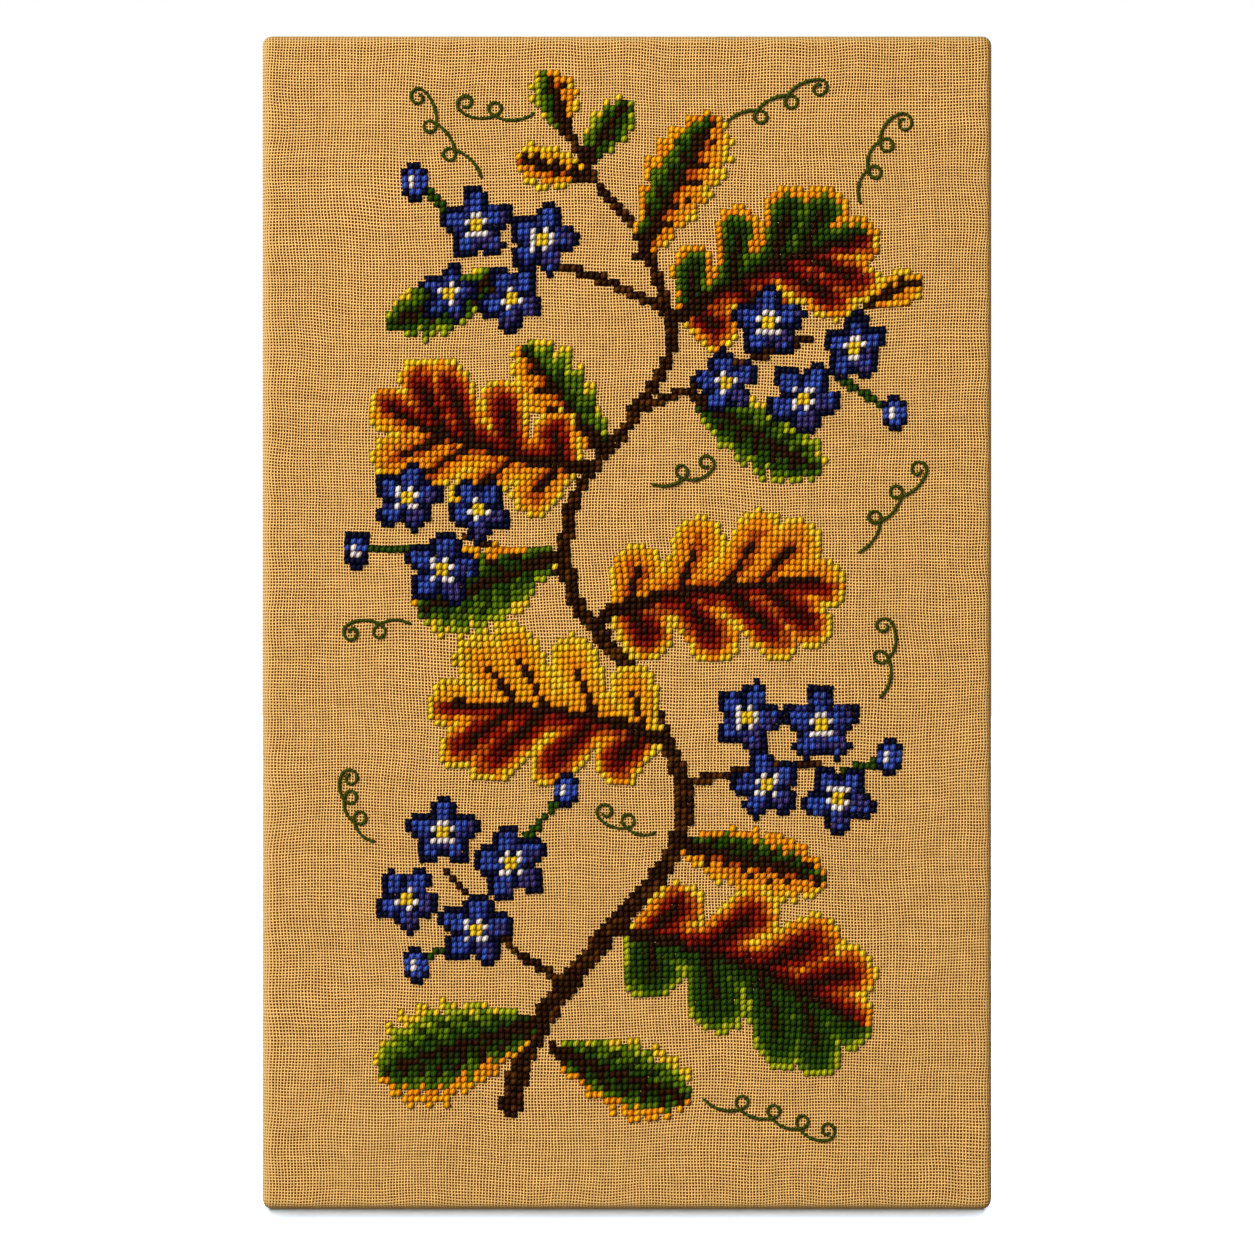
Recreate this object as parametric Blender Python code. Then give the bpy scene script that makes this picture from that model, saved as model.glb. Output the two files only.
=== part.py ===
"""Cross-stitch picture: one piece of evenweave cloth stretched over four mitred wooden bars.

Units are metres, +Z is up and the stitched face looks towards -Y.
The origin is at the middle of the bottom edge, half way through the depth.
"""

import math

import bmesh
import bpy
from mathutils import Vector

MM = 0.001

# Driving sizes of the picture
FACE_WIDTH = 300.0 * MM
FACE_HEIGHT = 482.5 * MM
CLOTH_THICKNESS = 1.0 * MM
FIT_GAP = 0.3 * MM
FACE_EDGE_RADIUS = 3.3 * MM
BACK_EDGE_RADIUS = 1.6 * MM
CORNER_RADIUS = 3.0 * MM

# The margin of cloth turned over the back, and its folded corners
TURNED_MARGIN = 25.0 * MM
FOLD_RISE = 0.8 * MM
FOLD_INSET = 2.0 * MM
FOLD_RIM = 0.4 * MM
MITRE_SLIT = 0.8 * MM
MITRE_SLIT_START = 4.5 * MM

# The section of a stretcher bar: a narrow lip carries the cloth, and the rest slopes clear of it
BAR_WIDTH = 38.0 * MM
BAR_DEPTH = 17.4 * MM
LIP_WIDTH = 6.0 * MM
LIP_SLOPE = 2.2 * MM
BAR_EASED_EDGE = 0.5 * MM

# Steps of the round edges
EDGE_STEPS = 5
CORNER_STEPS = 6
TIP_FACETS = 3
LEAST_RADIUS = 0.25 * MM

# Places worked out from the sizes, front to back
DEPTH = 2 * CLOTH_THICKNESS + 2 * FIT_GAP + BAR_DEPTH + FOLD_RISE
FRONT_Y = -DEPTH / 2
BACK_Y = DEPTH / 2
MARGIN_BACK_Y = BACK_Y - FOLD_RISE
BAR_FRONT_Y = FRONT_Y + CLOTH_THICKNESS + FIT_GAP
BAR_BACK_Y = BAR_FRONT_Y + BAR_DEPTH
BAR_INSET = CLOTH_THICKNESS + FIT_GAP
MID_Z = FACE_HEIGHT / 2
CUT_MARGIN = 5.0 * MM

LINEN_COLOUR = (0.58, 0.33, 0.10, 1.0)
PINE_COLOUR = (0.72, 0.50, 0.28, 1.0)


def clear_scene():
    """Removes what the startup scene holds."""
    for obj in list(bpy.data.objects):
        bpy.data.objects.remove(obj)


def material(name, colour, roughness):
    """A plain Principled finish."""
    made = bpy.data.materials.new(name)
    made.use_nodes = True
    surface = made.node_tree.nodes["Principled BSDF"]
    surface.inputs["Base Color"].default_value = colour
    surface.inputs["Roughness"].default_value = roughness
    surface.inputs["Metallic"].default_value = 0.0
    return made


def mesh_object(name, bm, finish=None, parent=None):
    """Turns a bmesh into a named object in the scene."""
    mesh = bpy.data.meshes.new(name)
    bmesh.ops.recalc_face_normals(bm, faces=bm.faces)
    bm.to_mesh(mesh)
    bm.free()
    obj = bpy.data.objects.new(name, mesh)
    bpy.context.scene.collection.objects.link(obj)
    if finish:
        mesh.materials.append(finish)
    obj.parent = parent
    return obj


def hide_cutter(obj):
    """Marks an object as a cutter, which is not part of the picture."""
    obj.hide_render = True
    obj.display_type = "WIRE"


def boolean(obj, other, operation):
    """Joins or cuts obj with other, live."""
    step = obj.modifiers.new(other.name, "BOOLEAN")
    step.operation = operation
    step.object = other
    step.solver = "EXACT"


def rounded_outline(width, height, radius):
    """The points of a rectangle with round corners, centred, as (x, z)."""
    points = []
    for quarter in range(4):
        turn = quarter * math.pi / 2
        side_x = (width / 2 - radius) * (1 if quarter in (0, 3) else -1)
        side_z = (height / 2 - radius) * (1 if quarter in (0, 1) else -1)
        for step in range(CORNER_STEPS + 1):
            angle = turn + math.pi / 2 * step / CORNER_STEPS
            points.append((side_x + radius * math.cos(angle), side_z + radius * math.sin(angle)))
    return points


def round_edge(face_y, inward, radius, first_inset=0.0):
    """Rows of (y, inset) round an edge, from the face to the side. inward is +1 or -1 along Y."""
    rows = []
    for step in range(EDGE_STEPS + 1):
        angle = math.pi / 2 * step / EDGE_STEPS
        y = face_y + inward * radius * (1 - math.cos(angle))
        rows.append((y, first_inset + radius * (1 - math.sin(angle))))
    return rows


def slab(name, width, height, corner_radius, rows, centre=(0.0, MID_Z), finish=None, parent=None):
    """A closed slab whose outline at each row's y is the rounded rectangle drawn in by its inset."""
    bm = bmesh.new()
    rings = []
    for y, inset in rows:
        radius = max(corner_radius - inset, LEAST_RADIUS)
        outline = rounded_outline(width - 2 * inset, height - 2 * inset, radius)
        rings.append([bm.verts.new((centre[0] + x, y, centre[1] + z)) for x, z in outline])
    for near, far in zip(rings, rings[1:]):
        for i in range(len(near)):
            j = (i + 1) % len(near)
            bm.faces.new((near[i], near[j], far[j], far[i]))
    bm.faces.new(rings[0])
    bm.faces.new(list(reversed(rings[-1])))
    return mesh_object(name, bm, finish, parent)


def wrapped_block(name, offset, finish=None, parent=None):
    """The block that the cloth wraps, with every wall moved in by offset."""
    front = round_edge(FRONT_Y + offset, 1, FACE_EDGE_RADIUS - offset, offset)
    back = round_edge(MARGIN_BACK_Y - offset, -1, BACK_EDGE_RADIUS - offset, offset)
    rows = front + list(reversed(back))
    return slab(name, FACE_WIDTH, FACE_HEIGHT, CORNER_RADIUS, rows, finish=finish, parent=parent)


def block_cutter(name, size, centre, turn=0.0):
    """A plain box cutter, turned about Y through its centre."""
    bm = bmesh.new()
    bmesh.ops.create_cube(bm, size=1.0)
    bmesh.ops.scale(bm, vec=Vector(size), verts=bm.verts)
    obj = mesh_object(name, bm)
    obj.location = centre
    obj.rotation_euler = (0.0, turn, 0.0)
    hide_cutter(obj)
    return obj


def corner_fold(name, side_x, side_z):
    """The second layer of cloth in a turned corner: a thin square with a softened rim."""
    size = TURNED_MARGIN - FOLD_INSET
    centre_x = side_x * (FACE_WIDTH / 2 - FOLD_INSET - size / 2)
    centre_z = MID_Z + side_z * (FACE_HEIGHT / 2 - FOLD_INSET - size / 2)
    rows = [
        (MARGIN_BACK_Y - CLOTH_THICKNESS / 2, 0.0),
        (BACK_Y - FOLD_RIM, 0.0),
        (BACK_Y, FOLD_RIM),
    ]
    fold = slab(name, size, size, FOLD_RIM, rows, centre=(centre_x, centre_z))
    hide_cutter(fold)
    return fold


def mitre_slit(name, side_x, side_z):
    """The parting line where two turned margins meet, through both layers of the corner."""
    inner_x = FACE_WIDTH / 2 - TURNED_MARGIN - CUT_MARGIN
    inner_z = FACE_HEIGHT / 2 - TURNED_MARGIN - CUT_MARGIN
    outer_x = FACE_WIDTH / 2 - MITRE_SLIT_START
    outer_z = FACE_HEIGHT / 2 - MITRE_SLIT_START
    start = Vector((side_x * inner_x, 0.0, MID_Z + side_z * inner_z))
    end = Vector((side_x * outer_x, 0.0, MID_Z + side_z * outer_z))
    low = MARGIN_BACK_Y - CLOTH_THICKNESS - FIT_GAP / 2
    high = BACK_Y + CUT_MARGIN
    centre = (start + end) / 2
    centre.y = (low + high) / 2
    size = ((end - start).length, high - low, MITRE_SLIT)
    return block_cutter(name, size, centre, turn=-side_x * side_z * math.pi / 4)


def cloth(parent, finish):
    """The evenweave: one sheet over the face, round the four sides and turned over the back."""
    sheet = wrapped_block("cloth", 0.0, finish, parent)
    hollow = wrapped_block("cloth_hollow", CLOTH_THICKNESS)
    hide_cutter(hollow)
    boolean(sheet, hollow, "DIFFERENCE")
    corners = [(-1, -1), (1, -1), (1, 1), (-1, 1)]
    for number, (side_x, side_z) in enumerate(corners, 1):
        boolean(sheet, corner_fold(f"corner_fold_{number}", side_x, side_z), "UNION")
    window_size = (
        FACE_WIDTH - 2 * TURNED_MARGIN,
        2 * CUT_MARGIN,
        FACE_HEIGHT - 2 * TURNED_MARGIN,
    )
    window = block_cutter("back_window", window_size, (0.0, MARGIN_BACK_Y, MID_Z))
    boolean(sheet, window, "DIFFERENCE")
    for number, (side_x, side_z) in enumerate(corners, 1):
        boolean(sheet, mitre_slit(f"mitre_slit_{number}", side_x, side_z), "DIFFERENCE")
    sheet.data.shade_smooth()
    sheet.data.set_sharp_from_angle(angle=math.radians(35))
    return sheet


def bar_section():
    """The section of a bar as (inset from its outer side, y), from the back outer edge round."""
    back_radius = BACK_EDGE_RADIUS - BAR_INSET
    front_radius = FACE_EDGE_RADIUS - BAR_INSET
    outer_back = [(inset, y) for y, inset in round_edge(BAR_BACK_Y, -1, back_radius)]
    outer_front = [(inset, y) for y, inset in round_edge(BAR_FRONT_Y, 1, front_radius)]
    eased = BAR_EASED_EDGE
    inner = [
        (LIP_WIDTH, BAR_FRONT_Y),
        (BAR_WIDTH - eased, BAR_FRONT_Y + LIP_SLOPE),
        (BAR_WIDTH, BAR_FRONT_Y + LIP_SLOPE + eased),
        (BAR_WIDTH, BAR_BACK_Y - eased),
        (BAR_WIDTH - eased, BAR_BACK_Y),
    ]
    return outer_back + list(reversed(outer_front)) + inner


def trim(bm, point, normal):
    """Cuts away what lies beyond a plane, and closes the cut."""
    everything = list(bm.verts) + list(bm.edges) + list(bm.faces)
    cut = bmesh.ops.bisect_plane(
        bm, geom=everything, plane_co=point, plane_no=normal, clear_outer=True
    )
    edges = [part for part in cut["geom_cut"] if isinstance(part, bmesh.types.BMEdge)]
    bmesh.ops.holes_fill(bm, edges=edges)


def stretcher_bar(name, length, location, turn, parent, finish):
    """A mitred bar along its own X, with its outer side at z = 0 and its width going up."""
    bm = bmesh.new()
    ends = []
    for x in (-length / 2, length / 2):
        ends.append([bm.verts.new((x, y, inset)) for inset, y in bar_section()])
    count = len(ends[0])
    for i in range(count):
        j = (i + 1) % count
        bm.faces.new((ends[0][i], ends[0][j], ends[1][j], ends[1][i]))
    bm.faces.new(ends[0])
    bm.faces.new(list(reversed(ends[1])))
    tip_radius = CORNER_RADIUS - BAR_INSET
    diagonal = FIT_GAP / math.sqrt(2)
    for side in (-1, 1):
        mitre_point = Vector((side * (length / 2 - diagonal), 0.0, 0.0))
        trim(bm, mitre_point, Vector((side, 0.0, 1.0)).normalized())
        centre = Vector((side * (length / 2 - tip_radius), 0.0, tip_radius))
        for facet in range(1, TIP_FACETS + 1):
            angle = math.pi / 4 * facet / TIP_FACETS
            normal = Vector((side * math.sin(angle), 0.0, -math.cos(angle)))
            trim(bm, centre + normal * tip_radius, normal)
    bmesh.ops.remove_doubles(bm, verts=bm.verts, dist=0.001 * MM)
    bar = mesh_object(name, bm, finish, parent)
    bar.location = location
    bar.rotation_euler = (0.0, turn, 0.0)
    bar.data.shade_smooth()
    bar.data.set_sharp_from_angle(angle=math.radians(25))
    return bar


def stretcher_frame(parent, finish):
    """Four bars, mitred together inside the cloth."""
    width = FACE_WIDTH - 2 * BAR_INSET
    height = FACE_HEIGHT - 2 * BAR_INSET
    quarter = math.pi / 2
    places = {
        "bar_bottom": (width, (0.0, 0.0, BAR_INSET), 0.0),
        "bar_left": (height, (-width / 2, 0.0, MID_Z), quarter),
        "bar_top": (width, (0.0, 0.0, FACE_HEIGHT - BAR_INSET), 2 * quarter),
        "bar_right": (height, (width / 2, 0.0, MID_Z), 3 * quarter),
    }
    for name, (length, location, turn) in places.items():
        stretcher_bar(name, length, location, turn, parent, finish)


def main():
    """Builds the picture round one empty at its origin."""
    clear_scene()
    picture = bpy.data.objects.new("picture", None)
    bpy.context.scene.collection.objects.link(picture)
    linen = material("linen_evenweave", LINEN_COLOUR, 0.9)
    pine = material("planed_pine", PINE_COLOUR, 0.6)
    cloth(picture, linen)
    stretcher_frame(picture, pine)


main()
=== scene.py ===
"""The looks of a cross-stitch picture: evenweave cloth, yarn crosses, stem-stitched curls and pine bars.

Lengths are metres unless a name says otherwise. +Z is up and the stitched face looks towards -Y.
"""
import logging
import math
from collections.abc import Callable, Iterator, Sequence
from contextlib import contextmanager
from dataclasses import dataclass, field
from enum import Enum
from itertools import product
from typing import Any

import bmesh
import bpy
import numpy as np
from bpy.types import Material, Node, NodeSocket, NodeTree, Object
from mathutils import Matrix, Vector


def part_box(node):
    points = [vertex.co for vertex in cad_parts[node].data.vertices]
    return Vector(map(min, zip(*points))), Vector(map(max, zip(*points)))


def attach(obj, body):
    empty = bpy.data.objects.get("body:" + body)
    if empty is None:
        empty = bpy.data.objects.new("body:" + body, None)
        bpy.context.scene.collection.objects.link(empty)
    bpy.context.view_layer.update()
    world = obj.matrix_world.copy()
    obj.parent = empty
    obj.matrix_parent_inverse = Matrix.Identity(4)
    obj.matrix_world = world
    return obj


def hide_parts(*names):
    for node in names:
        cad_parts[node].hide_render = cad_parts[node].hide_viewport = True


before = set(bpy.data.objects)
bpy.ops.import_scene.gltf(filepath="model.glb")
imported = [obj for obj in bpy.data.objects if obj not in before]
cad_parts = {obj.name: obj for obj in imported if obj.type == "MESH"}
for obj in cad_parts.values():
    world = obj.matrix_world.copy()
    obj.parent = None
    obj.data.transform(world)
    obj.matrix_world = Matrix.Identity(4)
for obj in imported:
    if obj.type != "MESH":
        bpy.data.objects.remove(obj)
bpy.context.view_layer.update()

MM = 0.001
NEAR = 0.05 * MM  # places closer than this count as one
BODY = "root"
log = logging.getLogger("picture")

Point = tuple[float, float]
Place = tuple[float, float, float]
Colour = tuple[float, float, float, float]
Source = Node | NodeSocket
Inputs = dict[str | int, Any] | Sequence[Any]


def linear(colour: str) -> Colour:
    """Turns an sRGB hex colour into linear RGBA.

    Args:
        colour: the colour as "#RRGGBB".

    Returns:
        Linear red, green and blue, and an alpha of 1.
    """
    parts = [int(colour[i:i + 2], 16) / 255 for i in (1, 3, 5)]
    turned = [p / 12.92 if p <= 0.04045 else ((p + 0.055) / 1.055) ** 2.4 for p in parts]
    return turned[0], turned[1], turned[2], 1.0


def feed(node: Node, inputs: Inputs) -> None:
    """Gives a node's inputs their values, and links those that other nodes feed.

    Args:
        node: the node.
        inputs: its values and sources, by name or in order. A node stands for its first output.
    """
    for name, value in inputs.items() if isinstance(inputs, dict) else enumerate(inputs):
        source = value.outputs[0] if isinstance(value, Node) else value
        if isinstance(source, NodeSocket):
            node.id_data.links.new(source, node.inputs[name])
        else:
            node.inputs[name].default_value = source


def add(tree: NodeTree, kind: str, inputs: Inputs = (), **settings: Any) -> Node:
    """Adds a node with its settings, values and links.

    Args:
        tree: the node tree that gets it.
        kind: the node's type name, after "ShaderNode".
        inputs: its values and sources, by name or in order.
        **settings: the node's own properties.

    Returns:
        The new node.
    """
    made = tree.nodes.new(f"ShaderNode{kind}")
    for name, value in settings.items():
        setattr(made, name, value)
    feed(made, inputs)
    return made


def blank(name: str) -> tuple[Material, NodeTree, Node]:
    """Makes a material that has no finish yet.

    Args:
        name: the material's name.

    Returns:
        The material, its node tree and its shader.
    """
    made = bpy.data.materials.new(name)
    made.use_nodes = True
    return made, made.node_tree, made.node_tree.nodes["Principled BSDF"]


def select_nothing() -> None:
    """Deselects all, so that the next operator acts on its own object alone."""
    for chosen in list(bpy.context.selected_objects):
        chosen.select_set(False)


def select_only(obj: Object) -> None:
    """Makes one object the only one selected, and the active one.

    Args:
        obj: the object.
    """
    select_nothing()
    obj.select_set(True)
    bpy.context.view_layer.objects.active = obj


def new_object(name: str, operator: Callable[..., Any], **settings: Any) -> Object:
    """Adds a primitive, a lamp or the camera, with nothing else selected.

    Args:
        name: the new object's name.
        operator: the operator that adds it.
        **settings: its size and place.

    Returns:
        The new object.
    """
    select_nothing()
    operator(**settings)
    made = bpy.context.active_object
    made.name = name
    return made


@contextmanager
def editing(obj: Object) -> Iterator[None]:
    """Opens edit mode on one object, with nothing in it selected.

    Args:
        obj: the mesh object to edit.
    """
    select_only(obj)
    bpy.ops.object.mode_set(mode="EDIT")
    bpy.ops.mesh.select_all(action="DESELECT")
    try:
        yield
    finally:
        bpy.ops.object.mode_set(mode="OBJECT")


def pick(obj: Object, kind: str, test: Callable[[Any], bool]) -> None:
    """Selects, in edit mode, only the parts of a mesh that pass a test.

    Args:
        obj: the object in edit mode.
        kind: EDGE or FACE.
        test: says of one edge or face whether it is wanted.
    """
    bpy.ops.mesh.select_mode(type=kind)
    bpy.ops.mesh.select_all(action="DESELECT")
    bm = bmesh.from_edit_mesh(obj.data)
    for part in {"EDGE": bm.edges, "FACE": bm.faces}[kind]:
        if test(part):
            part.select_set(True)
    bm.select_flush_mode()
    bmesh.update_edit_mesh(obj.data)


def mesh_points(mesh: bpy.types.Mesh) -> np.ndarray:
    """Reads a mesh's vertices.

    Args:
        mesh: the mesh to read.

    Returns:
        An array of one row per vertex.
    """
    flat = np.empty(len(mesh.vertices) * 3, dtype=np.float32)
    mesh.vertices.foreach_get("co", flat)
    return flat.reshape(-1, 3).astype(float)


def as_row(values: np.ndarray, kind: type = np.float32) -> np.ndarray:
    """Lays numbers out in the one row that a mesh takes them in."""
    return values.astype(kind).reshape(-1)


class Yarn(Enum):
    """The skeins of stitching yarn: a number on the chart and an sRGB colour."""

    UMBER = (0, "#2C1502")
    BARK = (1, "#4E2A06")
    WINE = (2, "#560D00")
    RUST = (3, "#881A00")
    COPPER = (4, "#B44C00")
    ORANGE = (5, "#F08E00")
    AMBER = (6, "#F4A602")
    GOLD = (7, "#EEC420")
    PINE = (8, "#223002")
    GREEN = (9, "#264404")
    MOSS = (10, "#506E02")
    LIME = (11, "#A0AA0C")
    NAVY = (12, "#080C2A")
    INDIGO = (13, "#1B246E")
    BLUE = (14, "#2E48AC")
    VIOLET = (15, "#352C6E")
    CREAM = (16, "#E4DADA")
    TENDRIL = (17, "#36420A")

    @property
    def number(self) -> int:
        """The yarn's number on the chart."""
        return self.value[0]

    @property
    def colour(self) -> str:
        """The yarn's sRGB colour."""
        return self.value[1]

    @property
    def slot(self) -> str:
        """The name of the material slot for the yarn's group: warm, green or blue.

        Returns:
            The slot's name.
        """
        if self.number < Yarn.PINE.number:
            return "yarn_warm"
        return "yarn_green" if self.number < Yarn.NAVY.number or self is Yarn.TENDRIL else "yarn_blue"

    def finish(self) -> "StrandedYarn":
        """Names its finish: the blues are glossier, with stronger painted shade and light on their plies
        than the rest.

        Returns:
            The finish.
        """
        if self in (Yarn.BLUE, Yarn.INDIGO, Yarn.VIOLET):
            return StrandedYarn(f"yarn_{self.name.lower()}", self.colour, gleam=0.12, ply_shading=(0.35, 1.4))
        return StrandedYarn(f"yarn_{self.name.lower()}", self.colour)


BARE = -1
Ramp = tuple[Yarn, ...]
EMBER: Ramp = (Yarn.UMBER, Yarn.WINE, Yarn.RUST, Yarn.COPPER, Yarn.ORANGE, Yarn.GOLD)
FLAME: Ramp = (Yarn.UMBER, Yarn.COPPER, Yarn.ORANGE, Yarn.ORANGE, Yarn.AMBER, Yarn.GOLD)
SUNNY: Ramp = (Yarn.UMBER, Yarn.ORANGE, Yarn.AMBER, Yarn.AMBER, Yarn.GOLD, Yarn.GOLD)
FOREST: Ramp = (Yarn.UMBER, Yarn.PINE, Yarn.GREEN, Yarn.GREEN, Yarn.MOSS, Yarn.LIME)
MEADOW: Ramp = (Yarn.PINE, Yarn.GREEN, Yarn.MOSS, Yarn.MOSS, Yarn.LIME, Yarn.GOLD)
TURNING: Ramp = (Yarn.UMBER, Yarn.PINE, Yarn.GREEN, Yarn.MOSS, Yarn.ORANGE, Yarn.AMBER)


@dataclass
class Chart:
    """The counted chart: one yarn number, or BARE, for each square of two threads by two.

    Attributes:
        columns: squares across the face.
        rows: squares up the face.
        seed: seed of the speckle that mixes neighbouring shades.
    """

    columns: int = 120
    rows: int = 193
    seed: int = 11
    cells: np.ndarray = field(init=False)
    speckle: np.ndarray = field(init=False)
    x: np.ndarray = field(init=False)
    z: np.ndarray = field(init=False)

    def __post_init__(self) -> None:
        """Lays out a bare chart."""
        self.cells = np.full((self.rows, self.columns), BARE, dtype=np.int8)
        self.speckle = np.random.default_rng(self.seed).random((self.rows, self.columns))
        row, column = np.mgrid[0:self.rows, 0:self.columns]
        self.x = column + 0.5
        self.z = row + 0.5

    def paint(self, mask: np.ndarray, yarn: Yarn) -> None:
        """Marks the squares of a mask for one yarn."""
        self.cells[mask] = yarn.number

    def squares(self, yarn: Yarn) -> tuple[np.ndarray, np.ndarray]:
        """Finds a yarn's squares.

        Args:
            yarn: the skein to look for.

        Returns:
            The middles of its squares, across and up, in squares.
        """
        row, column = np.nonzero(self.cells == yarn.number)
        return column + 0.5, row + 0.5


def smooth_route(points: tuple[Point, ...], step: float = 0.4) -> np.ndarray:
    """Runs a smooth curve through points.

    Args:
        points: the points that it passes.
        step: the distance between the points returned.

    Returns:
        Points along the curve.
    """
    ends = np.array([points[0], *points, points[-1]], dtype=float)
    found = []
    for before, start, end, after in zip(ends, ends[1:], ends[2:], ends[3:]):
        count = max(int(np.hypot(*(end - start)) / step), 2)
        for t in np.linspace(0, 1, count, endpoint=False):
            bend = 2 * before - 5 * start + 4 * end - after
            turn = 3 * start - before - 3 * end + after
            found.append(0.5 * (2 * start + (end - before) * t + bend * t * t + turn * t ** 3))
    found.append(ends[-1])
    return np.array(found)


@dataclass(frozen=True)
class Stem:
    """A brown stem along a smooth route, in squares.

    Attributes:
        points: the points that it passes.
        thick: half its width at the start.
        tip_thick: half its width at the end.
    """

    points: tuple[Point, ...]
    thick: float = 0.75
    tip_thick: float = 0.55

    FLECKS = 0.3  # the share of it in the lighter brown

    def paint(self, chart: Chart) -> None:
        """Marks the stem on the chart, flecked with a lighter brown.

        Args:
            chart: the chart.
        """
        line = smooth_route(self.points)
        for step, (x, z) in enumerate(line):
            reach = self.thick + (self.tip_thick - self.thick) * step / len(line)
            near = (chart.x - x) ** 2 + (chart.z - z) ** 2 < reach * reach
            chart.paint(near, Yarn.UMBER)
            chart.paint(near & (chart.speckle > 1 - self.FLECKS), Yarn.BARK)


@dataclass(frozen=True)
class Leaf:
    """A leaf with a dark midrib and slanting veins, whose shades lighten towards its edge.

    Attributes:
        base: where its stalk joins, in squares.
        tip: its tip, in squares.
        breadth: half its width at the widest, in squares.
        ramps: the shades left and right of the midrib, from vein to edge.
        bow: how far the midrib bows to its left, in squares.
    """

    base: Point
    tip: Point
    breadth: float
    ramps: tuple[Ramp, Ramp]
    bow: float = 0.0

    FALL = 1.35  # above 1, the darker shades reach further out
    MIXED = 0.2  # how far the speckle moves a shade
    RIB = 0.55  # half the midrib's width, in squares
    STALK = 1.0  # half its width near the stalk
    STALK_TO = 0.25  # where that ends, of the leaf's length
    RIB_TO = 0.9  # where the midrib ends
    VEIN = 0.5  # half a vein's width, in squares
    OUTSIDE = 9  # a depth well outside the leaf

    @property
    def length(self) -> float:
        """From base to tip, in squares."""
        return math.dist(self.base, self.tip)

    def on_leaf(self, chart: Chart) -> tuple[np.ndarray, np.ndarray]:
        """Finds each square's place on the leaf.

        Args:
            chart: the chart.

        Returns:
            Its share of the way from base to tip, and its distance to the left of the midrib.
        """
        ahead = np.subtract(self.tip, self.base) / self.length
        rx, rz = chart.x - self.base[0], chart.z - self.base[1]
        along = (rx * ahead[0] + rz * ahead[1]) / self.length
        across = rz * ahead[0] - rx * ahead[1] - self.bow * 4 * along * (1 - along)
        return along, across

    def paint(self, chart: Chart) -> None:
        """Marks the leaf on the chart.

        Args:
            chart: the chart.
        """
        along, across = self.on_leaf(chart)
        for side, ramp in zip((1, -1), self.ramps):
            depth, vein = self.shape(along, across * side)
            here = (across * side > -self.VEIN / 2) & (depth < 1)
            shade = np.clip(depth, 0, 1) ** self.FALL + (chart.speckle - 0.5) * self.MIXED
            shades = ramp[1:]
            index = np.clip((shade * len(shades)).astype(int), 0, len(shades) - 1)
            for number, yarn in enumerate(shades):
                chart.paint(here & (index == number), yarn)
            chart.paint(here & vein, ramp[0])
        rib = (np.abs(across) < self.RIB) | ((np.abs(across) < self.STALK) & (along < self.STALK_TO))
        chart.paint(rib & (along > 0) & (along < self.RIB_TO), Yarn.UMBER)

    def shape(self, along: np.ndarray, out: np.ndarray) -> tuple[np.ndarray, np.ndarray]:
        """Shapes one half of the leaf. Each kind of leaf has its own.

        Args:
            along: each square's share of the way from base to tip.
            out: its distance from the midrib, on this half.

        Returns:
            How near the edge each square is, 1 at the edge, and where the veins run.
        """
        raise NotImplementedError


@dataclass(frozen=True)
class LobedLeaf(Leaf):
    """A leaf cut into rounded lobes, each with a vein of its own.

    Attributes:
        lobes: lobes on each side of the midrib, without the one at the tip.
    """

    lobes: int = 4

    BODY = 0.36  # half the uncut body's width, of the breadth
    BODY_MIDDLE = 0.48  # the middle of the body, of the leaf's length
    FIRST = 0.55  # the room before the first lobe, in lobes
    SPARE = 0.9  # that room and the one past the last
    LEAN = (66, 30)  # a lobe's angle from the midrib at the base, and how much is lost by the tip
    ARCH = (0.16, 0.72, 0.8)  # the stretch of a sine that the lobes' ends follow, and its flattening
    END_LOBE = 0.66  # the length of the lobe at the tip, of the breadth
    STEEPEST = 0.75  # the least sine of a lobe's lean that its length is reckoned with
    HALF = 0.31  # half a lobe's width at its root, of its room
    FLARE = 0.45  # how much wider it is at its end
    ROUND_FROM = 0.62  # where its end begins to round, of its length

    def shape(self, along: np.ndarray, out: np.ndarray) -> tuple[np.ndarray, np.ndarray]:
        """Shapes one half of the leaf, lobe by lobe.

        Args:
            along: each square's share of the way from base to tip.
            out: its distance from the midrib, on this half.

        Returns:
            How near the edge each square is, 1 at the edge, and where the veins run.
        """
        ahead = along * self.length
        depth = np.abs(out) / (self.BODY * self.breadth) + (np.abs(along - self.BODY_MIDDLE) / 0.5) ** 3
        vein = np.zeros(depth.shape, dtype=bool)
        start_share, arch_share, flat = self.ARCH
        for lobe in range(self.lobes + 1):
            place = (lobe + self.FIRST) / (self.lobes + self.SPARE)
            lean = math.radians(self.LEAN[0] - self.LEAN[1] * place)
            share = math.sin(math.pi * (start_share + arch_share * place)) ** flat
            if lobe == self.lobes:
                lean, share = 0.0, self.END_LOBE
            size = self.breadth * share / max(math.sin(lean), self.STEEPEST)
            start = min(place * self.length, self.length - size)
            far = ((ahead - start) * math.cos(lean) + out * math.sin(lean)) / size
            aside = out * math.cos(lean) - (ahead - start) * math.sin(lean)
            half = self.HALF * self.length / self.lobes * (1 + self.FLARE * np.clip(far, 0, 1))
            round_end = np.clip((far - self.ROUND_FROM) / (1 - self.ROUND_FROM), 0, None)
            reach = np.sqrt(round_end ** 2 + (aside / half) ** 2) + np.where(far < 0, self.OUTSIDE, 0)
            depth = np.minimum(depth, reach)
            vein |= (np.abs(aside) < self.VEIN) & (far > 0) & (far < self.ROUND_FROM)
        return depth, vein


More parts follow.
